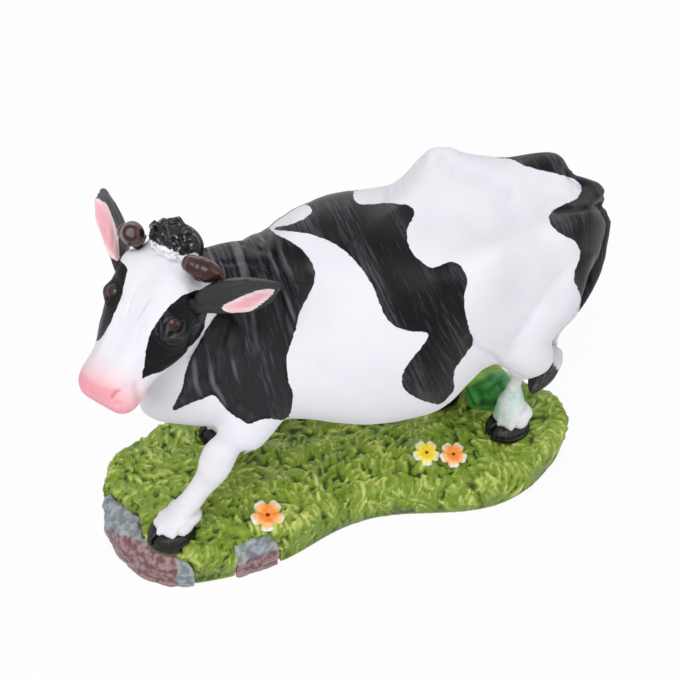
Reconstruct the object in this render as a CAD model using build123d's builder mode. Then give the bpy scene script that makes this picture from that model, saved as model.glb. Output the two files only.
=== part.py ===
from build123d import *
import math
import os

os.makedirs("parts", exist_ok=True)

# A striding black and white cow on a grassy mound, cast in resin in several pieces that
# are pegged and glued together. Millimetres, +Z up. The cow faces -X and its left side
# is at -Y. The origin is on the underside of the base, under the cow's middle.

# The grassy base
base_length = 137.0
base_width = 57.0
base_height = 12.0
hoof_sink = 1.5

# The cow, measured over the trunk
trunk_length = 124.0
barrel_width = 53.0
back_height = 79.0
trunk_middle = 9.0

# The head
head_length = 41.5
head_width = 24.0
head_depth = 25.0
head_turn_degrees = 36.5
head_drop_degrees = 33.0
head_lean_degrees = -11.0
neck_peg_radius = 3.0
neck_peg_length = 5.0

# Legs and hooves
leg_girth = 12.0
hoof_length = 13.0
hoof_width = 12.4
hoof_height = 4.8
cleft_width = 0.9
leg_peg_radius = 1.4
leg_peg_length = 3.0

# Ears, horns and eyes
ear_length = 24.0
ear_width = 13.5
ear_thickness = 2.6
ear_root_depth = 2.4
horn_radius = 2.6
horn_length = 11.0
horn_root_depth = 2.6
eye_radius = 2.3
eye_depth = 1.8
eye_bulge = 1.3

# Forelock, udder and tail
forelock_length = 9.5
forelock_width = 14.0
forelock_height = 4.4
curl_radius = 1.5
udder_length = 17.0
udder_width = 13.0
udder_height = 8.0
teat_radius = 1.2
teat_length = 2.6
tail_radius = 2.4
tail_peg_length = 3.0
switch_length = 15.0
switch_radius = 3.9

# Things on the base
leaf_clump_length = 15.0
leaf_clump_width = 9.0
flower_size = 9.6
small_flower_size = 7.2
petal_thickness = 1.0
stem_radius = 0.9
stem_depth = 3.0
petals_in_flower = 5

# Fits
fit = 0.15
overrun = 1.0

grass_level = base_height
hoof_level = base_height - hoof_sink


def place(along, across, up):
    """A point of the cow, in shares of trunk length, barrel width and back height."""
    return Vector(
        trunk_middle + along * trunk_length,
        across * barrel_width,
        grass_level + up * back_height,
    )


def crossing(centre, direction):
    """A plane across a limb at centre: local x runs fore and aft, local y sideways."""
    ahead = Vector(direction).normalized()
    return Plane(origin=centre, x_dir=Vector(0, 1, 0).cross(ahead), z_dir=ahead)


def outline(plane, points):
    """A closed smooth face through points on plane."""
    with BuildSketch(plane) as face:
        with BuildLine():
            Spline(*points, periodic=True)
        make_face()
    return face.sketch


def oval(plane, length, width):
    """An oval face on plane."""
    with BuildSketch(plane) as face:
        Ellipse(length / 2, width / 2)
    return face.sketch


def barrel_points(top, bottom, half, high, upper_wide, upper_drop, lower_wide, lower_rise):
    """Eight points round a body section: crown, shoulders, sides, corners and floor."""
    depth = top - bottom
    side = bottom + high * depth
    right = [
        (upper_wide * half, top - upper_drop * depth),
        (half, side),
        (lower_wide * half, bottom + lower_rise * depth),
    ]
    left = [(-x, y) for x, y in reversed(right)]
    return [(0, top)] + right + [(0, bottom)] + left


def limb_sections(rows, before, level_rows=0, grow=0):
    """Ovals down a limb; before is a point above it, and its last level_rows lie level."""
    centres = [place(*row[:3]) for row in rows]
    faces = []
    for index, row in enumerate(rows):
        above = centres[index - 1] if index else before
        below = centres[min(index + 1, len(rows) - 1)]
        way = below - above if index < len(rows) - level_rows else Vector(0, 0, -1)
        plane = crossing(centres[index], way)
        faces.append(oval(plane, row[3] * leg_girth + 2 * grow, row[4] * leg_girth + 2 * grow))
    return faces


def heading(rows, before):
    """The plane of a limb's first row."""
    centres = [place(*row[:3]) for row in rows[:2]]
    return crossing(centres[0], centres[1] - before)


# The trunk, from brisket to tail: place along, crown, floor, half-width, height of the
# widest line, then the upper and lower corners.
trunk_shares = [
    (-0.500, 0.570, 0.375, 0.18, 0.45, 0.72, 0.14, 0.72, 0.14),
    (-0.465, 0.700, 0.335, 0.38, 0.42, 0.70, 0.15, 0.72, 0.14),
    (-0.415, 0.820, 0.318, 0.56, 0.42, 0.70, 0.15, 0.72, 0.14),
    (-0.347, 0.850, 0.312, 0.72, 0.42, 0.58, 0.18, 0.74, 0.14),
    (-0.266, 0.920, 0.312, 0.80, 0.44, 0.52, 0.14, 0.76, 0.14),
    (-0.169, 0.995, 0.290, 0.88, 0.44, 0.61, 0.11, 0.78, 0.15),
    (-0.040, 1.000, 0.212, 0.98, 0.44, 0.67, 0.11, 0.76, 0.15),
    (0.073, 0.990, 0.195, 1.00, 0.46, 0.76, 0.08, 0.74, 0.15),
    (0.210, 0.990, 0.250, 0.88, 0.58, 0.92, 0.01, 0.70, 0.16),
    (0.298, 0.980, 0.355, 0.76, 0.62, 0.86, 0.02, 0.70, 0.18),
    (0.395, 0.975, 0.480, 0.63, 0.62, 0.86, 0.01, 0.70, 0.18),
    (0.460, 0.980, 0.585, 0.48, 0.55, 0.80, 0.04, 0.72, 0.18),
    (0.500, 0.955, 0.680, 0.30, 0.50, 0.74, 0.13, 0.72, 0.15),
]

# The neck, which runs into the room of the head: centre, the way it faces, half-height and
# half-width, in shares of back height and barrel width.
neck_shares = [
    ((-0.185, 0.000, 0.640), (-1.00, 0.00, 0.00), 0.220, 0.280),
    ((-0.295, -0.040, 0.760), (-0.94, -0.24, 0.12), 0.205, 0.270),
    ((-0.345, -0.080, 0.845), (-0.87, -0.40, -0.20), 0.150, 0.215),
    ((-0.399, -0.160, 0.950), (-0.80, -0.45, -0.35), 0.127, 0.170),
]
neck_corner_share = 0.74
neck_corner_height_share = 0.66

# The head, from poll to muzzle: place along, then crown, floor, half-width, height of
# the widest line and corners, in shares of head length, depth and width.
head_shares = [
    (0.000, 0.215, -0.680, 0.80, 0.50, 0.78, 0.12, 0.68, 0.16),
    (0.120, 0.300, -0.760, 0.93, 0.50, 0.80, 0.11, 0.66, 0.16),
    (0.265, 0.250, -0.780, 1.01, 0.48, 0.82, 0.11, 0.64, 0.17),
    (0.430, 0.170, -0.720, 0.96, 0.46, 0.78, 0.13, 0.64, 0.18),
    (0.620, 0.080, -0.600, 0.80, 0.46, 0.70, 0.14, 0.70, 0.18),
    (0.780, 0.040, -0.520, 0.71, 0.47, 0.70, 0.15, 0.74, 0.18),
    (0.900, 0.010, -0.490, 0.73, 0.47, 0.72, 0.16, 0.74, 0.18),
    (0.970, -0.050, -0.450, 0.61, 0.47, 0.74, 0.18, 0.72, 0.18),
    (1.000, -0.110, -0.390, 0.40, 0.48, 0.72, 0.18, 0.72, 0.18),
]
head_origin_shares = (-0.393, -0.132, 1.048)

# Legs, from the seat on the body down to the hoof: place, then fore-and-aft and
# sideways girth in shares of leg girth. Every leg ends on the flat top of its hoof.
ankle_share = (hoof_height - hoof_sink) / back_height
fore_left_shares = [
    (-0.327, -0.368, 0.386, 1.00, 0.92),
    (-0.365, -0.362, 0.334, 0.80, 0.74),
    (-0.383, -0.362, 0.266, 0.70, 0.66),
    (-0.403, -0.362, 0.215, 0.56, 0.54),
    (-0.427, -0.360, 0.165, 0.58, 0.56),
    (-0.452, -0.355, 0.112, 0.74, 0.68),
    (-0.468, -0.350, 0.074, 0.86, 0.78),
    (-0.474, -0.345, ankle_share, 0.80, 0.78),
]
fore_right_shares = [
    (-0.268, 0.285, 0.292, 1.00, 0.88),
    (-0.272, 0.285, 0.245, 0.80, 0.74),
    (-0.277, 0.285, 0.203, 0.72, 0.70),
    (-0.285, 0.285, 0.139, 0.56, 0.56),
    (-0.293, 0.284, 0.095, 0.70, 0.66),
    (-0.297, 0.283, 0.066, 0.82, 0.76),
    (-0.298, 0.283, ankle_share, 0.78, 0.76),
]
hind_left_shares = [
    (0.310, -0.185, 0.335, 1.15, 0.88),
    (0.302, -0.160, 0.270, 0.42, 0.40),
    (0.299, -0.145, 0.215, 0.34, 0.34),
    (0.309, -0.137, 0.155, 0.56, 0.54),
    (0.320, -0.133, 0.100, 0.86, 0.80),
    (0.323, -0.132, 0.066, 0.86, 0.80),
    (0.322, -0.132, ankle_share, 0.80, 0.78),
]
hind_right_shares = [
    (0.292, 0.222, 0.325, 1.10, 0.92),
    (0.272, 0.222, 0.270, 0.56, 0.52),
    (0.252, 0.222, 0.218, 0.46, 0.44),
    (0.236, 0.222, 0.160, 0.56, 0.54),
    (0.226, 0.222, 0.110, 0.80, 0.76),
    (0.221, 0.222, 0.071, 0.84, 0.80),
    (0.218, 0.222, ankle_share, 0.80, 0.78),
]

# Shoulders and thighs of the body, from deep inside down to each leg's seat.
shoulder_left_shares = [
    (-0.235, -0.230, 0.640, 1.90, 1.20),
    (-0.268, -0.305, 0.510, 1.45, 1.15),
]
shoulder_right_shares = [
    (-0.245, 0.215, 0.600, 1.90, 1.20),
    (-0.262, 0.275, 0.440, 1.45, 1.10),
]
thigh_left_shares = [
    (0.362, -0.190, 0.820, 2.20, 1.20),
    (0.335, -0.225, 0.640, 2.15, 1.45),
    (0.318, -0.235, 0.470, 1.75, 1.40),
]
thigh_right_shares = [
    (0.362, 0.190, 0.820, 2.20, 1.20),
    (0.335, 0.225, 0.640, 2.15, 1.45),
    (0.312, 0.235, 0.470, 1.75, 1.40),
]

legs = {
    "fore_left": (fore_left_shares, shoulder_left_shares, 22.0),
    "fore_right": (fore_right_shares, shoulder_right_shares, 6.0),
    "hind_left": (hind_left_shares, thigh_left_shares, 14.0),
    "hind_right": (hind_right_shares, thigh_right_shares, 0.0),
}


# The flat across which each leg is pegged to the body
seats = {
    name: heading(rows, place(*stump[-1][:3])) for name, (rows, stump, toe) in legs.items()
}


def head_plane():
    """The plane across the poll: local x to the cow's left, y to the brow, z to the nose."""
    turn, drop, lean = (math.radians(a) for a in (head_turn_degrees, head_drop_degrees, head_lean_degrees))
    nose = Vector(
        -math.cos(turn) * math.cos(drop),
        -math.sin(turn) * math.cos(drop),
        -math.sin(drop),
    )
    left = Vector(math.sin(turn), -math.cos(turn), 0)
    brow = nose.cross(left)
    leaning = left * math.cos(lean) + brow * math.sin(lean)
    return Plane(origin=place(*head_origin_shares), x_dir=leaning, z_dir=nose)


poll = head_plane()


def head_section(row, grow=0):
    """One face across the head, drawn out by grow."""
    along, top, bottom, half, high, upper_wide, upper_drop, lower_wide, lower_rise = row
    points = barrel_points(
        top * head_depth + grow,
        bottom * head_depth - grow,
        half * head_width / 2 + grow,
        high,
        upper_wide,
        upper_drop,
        lower_wide,
        lower_rise,
    )
    return outline(poll.offset(along * head_length), points)


def in_head(along, aside, up):
    """A point of the head, in shares of its length, half-width and depth."""
    local = Vector(aside * head_width / 2, up * head_depth, along * head_length)
    return poll.from_local_coords(local)


def head_heading(along, aside, up):
    """A direction given along the nose, to the cow's left and to the brow."""
    return (poll.z_dir * along + poll.x_dir * aside + poll.y_dir * up).normalized()


def trunk_section(row):
    """One upright face across the trunk."""
    along, top, bottom, half, high, upper_wide, upper_drop, lower_wide, lower_rise = row
    points = barrel_points(
        grass_level + top * back_height,
        grass_level + bottom * back_height,
        half * barrel_width / 2,
        high,
        upper_wide,
        upper_drop,
        lower_wide,
        lower_rise,
    )
    return outline(Plane.YZ.offset(trunk_middle + along * trunk_length), points)


def neck_section(centre, facing, half_high, half_wide):
    """One face across the neck, leaning with it."""
    facing = Vector(facing).normalized()
    left = facing.cross(Vector(0, 0, -1)).normalized()
    plane = Plane(origin=place(*centre), x_dir=left, z_dir=facing)
    high = half_high * back_height
    wide = half_wide * barrel_width
    corner_x = neck_corner_share * wide
    corner_y = neck_corner_height_share * high
    points = [
        (0, high),
        (corner_x, corner_y),
        (wide, 0),
        (corner_x, -corner_y),
        (0, -high),
        (-corner_x, -corner_y),
        (-wide, 0),
        (-corner_x, corner_y),
    ]
    return outline(plane, points)


# Seats of the pieces that are set into others
ear_left_root_shares = (0.232, 0.880, 0.020)
ear_right_root_shares = (0.232, -0.965, -0.030)
ear_left_way = (-0.40, 0.81, 0.42)
ear_right_way = (-0.57, -0.79, -0.24)
horn_left_root_shares = (0.070, 0.780, 0.190)
horn_right_root_shares = (0.070, -0.780, 0.190)
horn_way = (0.05, 0.94, 0.34)
eye_left_shares = (0.395, 0.880, -0.020)
eye_right_shares = (0.395, -0.880, -0.020)
eye_left_way = (0.20, 0.93, 0.30)
eye_right_way = (0.20, -0.93, 0.30)
forelock_shares = (-0.010, 0.040, 0.245)


def ear_plane(root, way):
    """The plane across an ear's root: local z runs to its tip, local y to its open side."""
    along = head_heading(*way)
    open_side = (poll.z_dir - along * poll.z_dir.dot(along)).normalized()
    return Plane(origin=in_head(*root), x_dir=open_side.cross(along), z_dir=along)


def horn_plane(root):
    """The plane across a horn's root: local z points out of the head, local x along it."""
    along, aside, up = horn_way
    out = head_heading(along, math.copysign(aside, root[1]), up)
    return Plane(origin=in_head(*root), x_dir=out.cross(poll.y_dir), z_dir=out)


def eye_plane(centre, way):
    """The plane of an eye's rim, facing out of the head."""
    return Plane(origin=in_head(*centre), x_dir=poll.z_dir, z_dir=head_heading(*way))


ears = {
    "ear_left": ear_plane(ear_left_root_shares, ear_left_way),
    "ear_right": ear_plane(ear_right_root_shares, ear_right_way),
}
horns = {
    "horn_left": horn_plane(horn_left_root_shares),
    "horn_right": horn_plane(horn_right_root_shares),
}
eyes = {
    "eye_left": eye_plane(eye_left_shares, eye_left_way),
    "eye_right": eye_plane(eye_right_shares, eye_right_way),
}
forelock_seat = Plane(
    origin=in_head(*forelock_shares), x_dir=poll.x_dir, z_dir=poll.y_dir
)

# The udder hangs from a flat on the belly, and the leaf clump props the belly up.
udder_seat = Plane(origin=place(0.335, 0.010, 0.430))
leaf_clump_foot = place(0.322, 0.096, 0.000)
leaf_clump_seat = Plane(origin=place(0.240, 0.030, 0.310))

# The tail leaves the flat at the rump's end.
tail_seat = Plane(origin=place(0.500, 0.000, 0.885), x_dir=(0, 1, 0), z_dir=(1, 0, 0))
tail_shares = [
    (0.500, 0.000, 0.885, 1.00),
    (0.518, 0.000, 0.862, 1.00),
    (0.528, -0.004, 0.800, 1.00),
    (0.528, -0.008, 0.710, 0.96),
    (0.524, -0.014, 0.620, 0.92),
    (0.510, -0.024, 0.535, 0.88),
    (0.488, -0.032, 0.455, 0.84),
    (0.466, -0.040, 0.375, 0.80),
    (0.4435, -0.050, 0.291, 0.84),
]
switch_shares = [
    (0.00, 0.45),
    (0.18, 0.86),
    (0.42, 1.00),
    (0.70, 0.78),
    (0.90, 0.42),
    (1.00, 0.16),
]
switch_way = (-0.65, -0.48, -0.58)


stump_reach_share = 0.100
tail_peg_share = 0.60
tail_collar_share = 0.40
neck_peg_rise_share = -0.500
udder_levels_share = [(0.25, 1.00), (0.60, 0.90), (0.88, 0.62), (1.00, 0.30)]
teat_root_share = 0.60
teat_gap_share = 0.34
ear_root_share = 0.50
ear_fold_share = 0.60
ear_edge_share = 0.35
ear_back_share = 0.70
ear_shares = [
    (0.09, 0.50, 1.00, 0.05),
    (0.24, 0.84, 1.00, 0.36),
    (0.48, 1.02, 0.92, 0.55),
    (0.72, 0.84, 0.80, 0.42),
    (0.90, 0.46, 0.62, 0.16),
    (1.00, 0.14, 0.40, 0.00),
]
horn_out_share = 0.28
horn_in_share = 0.12
horn_rise_share = 0.68
horn_bend_share = 0.26
horn_shares = [
    (0.30, 0.99),
    (0.55, 0.92),
    (0.75, 0.84),
    (0.90, 0.72),
    (0.97, 0.50),
    (1.00, 0.24),
]
cleft_reach_share = 0.08
hoof_toe_share = 0.09
level_leg_rows = 3
hoof_levels_share = [(0.00, 1.00, 1.00), (0.35, 0.98, 0.99), (0.75, 0.87, 0.89)]
forelock_dome_share = [(0.00, 0.94), (0.35, 0.90), (0.70, 0.70), (0.92, 0.34)]
curl_rings_share = [(0.42, 0.69, 10), (0.68, 0.50, 7), (0.86, 0.24, 3)]
leaf_clump_shares = [
    (0.00, 1.00, 0.00),
    (0.28, 1.02, 0.10),
    (0.55, 0.86, 0.50),
    (0.80, 0.66, 0.88),
    (1.00, 0.60, 1.00),
]
petal_length_share = 0.46
petal_width_share = 0.34
petal_place_share = 0.27
flower_button_share = 0.16
flower_rise_share = 0.25
flower_tilt_degrees = 24.0
flower_turn_degrees = 36.0
nostril_shares = (0.965, 0.44, -0.10)
nostril_radius = 1.0

# Base mound: a grassy cake with a waisted outline, near side first.
mound_shares = [
    (-0.490, -0.050),
    (-0.481, -0.180),
    (-0.451, -0.350),
    (-0.400, -0.455),
    (-0.345, -0.497),
    (-0.280, -0.505),
    (-0.161, -0.478),
    (-0.044, -0.377),
    (0.058, -0.351),
    (0.175, -0.412),
    (0.299, -0.447),
    (0.394, -0.365),
    (0.467, -0.215),
    (0.500, -0.053),
    (0.467, 0.150),
    (0.380, 0.320),
    (0.263, 0.390),
    (0.131, 0.360),
    (0.000, 0.335),
    (-0.131, 0.380),
    (-0.248, 0.430),
    (-0.350, 0.400),
    (-0.418, 0.295),
    (-0.456, 0.185),
    (-0.483, 0.060),
]
mound_levels_share = [(0.00, 0.10), (0.22, 0.03), (0.60, 0.00), (0.90, 0.06), (1.00, 0.22)]


def mound_points(inset):
    """Points round the base, drawn in by a share of its height."""
    long_side = base_length - 2 * inset * base_height
    wide_side = base_width - 2 * inset * base_height
    return [(x * long_side, y * wide_side) for x, y in mound_shares]


def hoof_foot(rows, toe_out):
    """The plane under a hoof: origin on the sole, local x back from the toe."""
    sole = place(*rows[-1][:3])
    turn = math.radians(toe_out)
    heel_way = Vector(math.cos(turn), math.sin(turn), 0)
    origin = Vector(sole.X, sole.Y, hoof_level) - heel_way * hoof_toe_share * hoof_length
    return Plane(origin=origin, x_dir=heel_way, z_dir=(0, 0, 1))


hoof_feet = {name: hoof_foot(rows, toe) for name, (rows, stump, toe) in legs.items()}

# Rocks at the rim of the base. Each fills a straight-sided notch of the mound, given in
# plan; the first and last few corners lie outside the base.
rocks = {
    "rock_front": [
        (-0.560, 0.070),
        (-0.470, 0.070),
        (-0.448, -0.015),
        (-0.420, -0.140),
        (-0.420, -0.270),
        (-0.393, -0.385),
        (-0.350, -0.455),
        (-0.318, -0.620),
        (-0.560, -0.620),
    ],
    "rock_side": [
        (-0.275, -0.620),
        (-0.262, -0.450),
        (-0.215, -0.405),
        (-0.176, -0.410),
        (-0.160, -0.620),
    ],
}
rock_levels_share = [(0.00, 0.02), (0.30, 0.00), (0.62, 0.04), (0.84, 0.20)]
rock_top_share = rock_levels_share[-1][0]

flowers = {
    "flower_near": (place(-0.277, -0.412, 0.000), flower_size),
    "flower_yellow": (place(0.112, -0.232, 0.000), small_flower_size),
    "flower_far": (place(0.168, -0.285, 0.000), small_flower_size),
}


def notch(shares):
    """The plan of a rock's notch in the base."""
    with BuildSketch(Plane.XY) as face:
        with BuildLine():
            Polyline(*[(x * base_length, y * base_width) for x, y in shares], close=True)
        make_face()
    return face.sketch


def faceted(level, inset):
    """The outline of the base with straight sides between its points."""
    with BuildSketch(Plane.XY.offset(level * base_height)) as face:
        with BuildLine():
            Polyline(*mound_points(inset), close=True)
        make_face()
    return face.sketch


with BuildPart() as base_mound:
    loft(
        [
            outline(Plane.XY.offset(level * base_height), mound_points(inset))
            for level, inset in mound_levels_share
        ]
    )
    for foot in hoof_feet.values():
        with BuildSketch(foot):
            Ellipse(hoof_length / 2 + fit, hoof_width / 2 + fit)
        extrude(amount=hoof_sink + overrun, mode=Mode.SUBTRACT)
    for shares in rocks.values():
        extrude(notch(shares), amount=base_height, mode=Mode.SUBTRACT)
    for centre, size in flowers.values():
        with BuildSketch(Plane(origin=(centre.X, centre.Y, base_height))):
            Circle(stem_radius + fit)
        extrude(amount=-stem_depth, mode=Mode.SUBTRACT)


def make_rock(shares):
    """A faceted rock that fills its notch up to a little below the grass."""
    with BuildPart() as rock:
        loft([faceted(level, inset) for level, inset in rock_levels_share], ruled=True)
        extrude(notch(shares), amount=rock_top_share * base_height, mode=Mode.INTERSECT)
    return rock


def clump_sections(grow):
    """Ovals up the leaf clump, from the grass to its seat in the belly."""
    reach = leaf_clump_seat.origin - leaf_clump_foot
    faces = []
    for level, swell, lean in leaf_clump_shares:
        middle = leaf_clump_foot + Vector(reach.X * lean, reach.Y * lean, reach.Z * level)
        faces.append(
            oval(
                Plane(origin=middle),
                swell * leaf_clump_length + 2 * grow,
                swell * leaf_clump_width + 2 * grow,
            )
        )
    return faces


with BuildPart() as body:
    loft([neck_section(*row) for row in neck_shares])
    loft([trunk_section(row) for row in trunk_shares])
    for name, (rows, stump, toe_out) in legs.items():
        inside = place(stump[0][0], stump[0][1], stump[0][2] + stump_reach_share)
        stump_faces = limb_sections(stump + rows[:1], inside)[:-1]
        seat_face = oval(seats[name], rows[0][3] * leg_girth, rows[0][4] * leg_girth)
        loft(stump_faces + [seat_face])
        with BuildSketch(seats[name]):
            Circle(leg_peg_radius + fit)
        extrude(amount=-leg_peg_length, mode=Mode.SUBTRACT)
    for name, (rows, stump, toe_out) in legs.items():
        room = limb_sections(rows[:3], place(*stump[-1][:3]), grow=fit)
        loft(room, mode=Mode.SUBTRACT)
    with BuildSketch(udder_seat):
        Ellipse(udder_length / 2 + fit, udder_width / 2 + fit)
    extrude(amount=-udder_height, mode=Mode.SUBTRACT)
    loft(clump_sections(fit), mode=Mode.SUBTRACT)
    with BuildSketch(tail_seat):
        Circle(tail_peg_share * tail_radius + fit)
    extrude(amount=-tail_peg_length, mode=Mode.SUBTRACT)
    loft([head_section(row, fit) for row in head_shares], mode=Mode.SUBTRACT)
    with BuildSketch(poll):
        with Locations((0, neck_peg_rise_share * head_depth)):
            Circle(neck_peg_radius + fit)
    extrude(amount=-neck_peg_length, mode=Mode.SUBTRACT)


with BuildPart() as udder:
    teat_top = udder_seat.offset(-teat_root_share * udder_height)
    with BuildSketch(teat_top):
        with GridLocations(udder_length * teat_gap_share, udder_width * teat_gap_share, 2, 2):
            Circle(teat_radius)
    extrude(amount=-(udder_height * (1 - teat_root_share) + teat_length))
    udder_faces = [oval(udder_seat, udder_length, udder_width)]
    for drop, swell in udder_levels_share:
        level = udder_seat.offset(-drop * udder_height)
        udder_faces.append(oval(level, swell * udder_length, swell * udder_width))
    loft(udder_faces)


with BuildPart() as head:
    loft([head_section(row) for row in head_shares])
    with BuildSketch(poll):
        with Locations((0, neck_peg_rise_share * head_depth)):
            Circle(neck_peg_radius)
    extrude(amount=-neck_peg_length)
    for root in ears.values():
        with BuildSketch(root.offset(-ear_root_depth)):
            Ellipse(ear_root_share * ear_width / 2 + fit, ear_thickness / 2 + fit)
        extrude(amount=ear_width, mode=Mode.SUBTRACT)
    for root in horns.values():
        with BuildSketch(root.offset(-horn_root_depth)):
            Circle(horn_radius + fit)
        extrude(amount=head_width / 2, mode=Mode.SUBTRACT)
    for rim in eyes.values():
        with BuildSketch(rim.offset(-eye_depth)):
            Circle(eye_radius + fit)
        extrude(amount=head_width / 2, mode=Mode.SUBTRACT)
    with BuildSketch(forelock_seat):
        Ellipse(forelock_width / 2 + fit, forelock_length / 2 + fit)
    extrude(amount=head_depth, mode=Mode.SUBTRACT)
    for side in (-1, 1):
        nostril = in_head(nostril_shares[0], side * nostril_shares[1], nostril_shares[2])
        with Locations(nostril):
            Sphere(nostril_radius, mode=Mode.SUBTRACT)


def make_ear(root):
    """An ear cupped along its length, with a plain root for its socket."""
    with BuildPart() as ear:
        faces = []
        for along, wide, thick, cup in ear_shares:
            half = wide * ear_width / 2
            deep = thick * ear_thickness / 2
            dip = cup * ear_thickness
            points = [
                (0, deep - dip),
                (half * ear_fold_share, deep - dip * ear_fold_share),
                (half, deep * ear_edge_share),
                (half * ear_fold_share, -deep * ear_back_share - dip),
                (0, -deep - dip),
                (-half * ear_fold_share, -deep * ear_back_share - dip),
                (-half, deep * ear_edge_share),
                (-half * ear_fold_share, deep - dip * ear_fold_share),
            ]
            faces.append(outline(root.offset(along * ear_length), points))
        loft(faces)
        with BuildSketch(root.offset(-ear_root_depth)):
            Ellipse(ear_root_share * ear_width / 2, ear_thickness / 2)
        extrude(amount=ear_root_depth + ear_shares[0][0] * ear_length + ear_thickness)
    return ear


def make_horn(root):
    """A short blunt horn that leaves the head sideways and curls up and inwards."""
    bow = Plane(origin=root.origin, x_dir=root.z_dir, z_dir=root.x_dir)
    with BuildLine(bow) as path:
        ThreePointArc(
            (0, 0),
            (horn_out_share * horn_length, horn_bend_share * horn_length),
            (-horn_in_share * horn_length, horn_rise_share * horn_length),
        )
    curve = path.line
    with BuildPart() as horn:
        faces = [oval(root, 2 * horn_radius, 2 * horn_radius)]
        for along, swell in horn_shares:
            across = Plane(origin=curve @ along, x_dir=root.x_dir, z_dir=curve % along)
            faces.append(oval(across, 2 * swell * horn_radius, 2 * swell * horn_radius))
        loft(faces)
        with BuildSketch(root.offset(-horn_root_depth)):
            Circle(horn_radius)
        extrude(amount=horn_root_depth)
    return horn


def make_eye(rim):
    """A bead with a flat back and a domed front, set in a bore of the head."""
    dome_radius = (eye_radius**2 + eye_bulge**2) / (2 * eye_bulge)
    dome_centre = eye_bulge - dome_radius
    half_way = math.asin(eye_radius / dome_radius) / 2
    side_view = Plane(origin=rim.origin, x_dir=rim.x_dir, z_dir=-rim.y_dir)
    with BuildPart() as eye:
        with BuildSketch(side_view):
            with BuildLine():
                Polyline((0, eye_bulge), (0, -eye_depth), (eye_radius, -eye_depth), (eye_radius, 0))
                ThreePointArc(
                    (eye_radius, 0),
                    (
                        dome_radius * math.sin(half_way),
                        dome_centre + dome_radius * math.cos(half_way),
                    ),
                    (0, eye_bulge),
                )
            make_face()
        revolve(axis=Axis(rim.origin, rim.z_dir))
    return eye


with BuildPart() as forelock:
    loft(
        [
            oval(
                forelock_seat.offset(level * forelock_height),
                swell * forelock_width,
                swell * forelock_length,
            )
            for level, swell in forelock_dome_share
        ]
    )
    for level, reach, count in curl_rings_share:
        for index in range(count):
            turn = 2 * math.pi * index / count
            spot = Vector(
                reach * forelock_width / 2 * math.cos(turn),
                reach * forelock_length / 2 * math.sin(turn),
                level * forelock_height,
            )
            with Locations(forelock_seat.from_local_coords(spot)):
                Sphere(curl_radius)


def make_leg(name):
    """A leg from its seat on the body to its hoof, with a peg at each end."""
    rows, stump, toe_out = legs[name]
    ankle = Plane(origin=place(*rows[-1][:3]))
    with BuildPart() as leg:
        loft(limb_sections(rows, place(*stump[-1][:3]), level_rows=level_leg_rows))
        with BuildSketch(seats[name]):
            Circle(leg_peg_radius)
        extrude(amount=-leg_peg_length)
        with BuildSketch(ankle):
            Circle(leg_peg_radius)
        extrude(amount=-leg_peg_length)
    return leg


def make_hoof(name):
    """A cloven hoof that stands in its hollow of the base."""
    rows, stump, toe_out = legs[name]
    foot = hoof_feet[name]
    ankle = place(*rows[-1][:3])
    with BuildPart() as hoof:
        faces = [
            oval(foot.offset(level * hoof_height), long * hoof_length, wide * hoof_width)
            for level, long, wide in hoof_levels_share
        ]
        crown = Plane(origin=ankle, x_dir=foot.x_dir, z_dir=foot.z_dir)
        crown_girth = rows[-1][3] * leg_girth
        faces.append(oval(crown, crown_girth, crown_girth))
        loft(faces)
        with BuildSketch(crown):
            Circle(leg_peg_radius + fit)
        extrude(amount=-leg_peg_length, mode=Mode.SUBTRACT)
        cleft_length = hoof_length / 2 + overrun - cleft_reach_share * hoof_length
        with BuildSketch(foot):
            with Locations((-cleft_length / 2 - cleft_reach_share * hoof_length, 0)):
                Rectangle(cleft_length, cleft_width)
        extrude(amount=hoof_height + overrun, mode=Mode.SUBTRACT)
    return hoof


with BuildPart() as leaf_clump:
    loft(clump_sections(0))


def make_flower(centre, size):
    """A five-petalled flower, tilted to the near side, on a stem set in the base."""
    rise = flower_rise_share * size
    seat = Plane(origin=(centre.X, centre.Y, base_height + rise)).rotated((flower_tilt_degrees, 0, 0))
    with BuildPart() as flower:
        with BuildSketch(seat):
            with PolarLocations(petal_place_share * size, petals_in_flower, flower_turn_degrees):
                Ellipse(petal_length_share * size / 2, petal_width_share * size / 2)
            Circle(petal_place_share * size)
        extrude(amount=petal_thickness)
        with Locations(seat.offset(petal_thickness).origin):
            Sphere(flower_button_share * size)
        with BuildSketch(Plane(origin=(centre.X, centre.Y, base_height - stem_depth))):
            Circle(stem_radius)
        extrude(amount=stem_depth + rise)
    return flower


tail_points = [place(*row[:3]) for row in tail_shares]
tail_tip = crossing(tail_points[-1], switch_way)

with BuildPart() as tail:
    collar = tail_seat.offset(tail_collar_share * tail_radius)
    tail_faces = [oval(level, 2 * tail_radius, 2 * tail_radius) for level in (tail_seat, collar)]
    for index, row in enumerate(tail_shares[1:-1], start=1):
        way = tail_points[index + 1] - tail_points[index - 1]
        tail_faces.append(
            oval(
                crossing(tail_points[index], way),
                2 * row[3] * tail_radius,
                2 * row[3] * tail_radius,
            )
        )
    tail_end = 2 * tail_shares[-1][3] * tail_radius
    tail_faces.append(oval(tail_tip, tail_end, tail_end))
    loft(tail_faces)
    with BuildSketch(tail_seat):
        Circle(tail_peg_share * tail_radius)
    extrude(amount=-tail_peg_length)

with BuildPart() as tail_switch:
    loft(
        [
            oval(
                tail_tip.offset(along * switch_length),
                2 * swell * switch_radius,
                2 * swell * switch_radius,
            )
            for along, swell in switch_shares
        ]
    )

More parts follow.
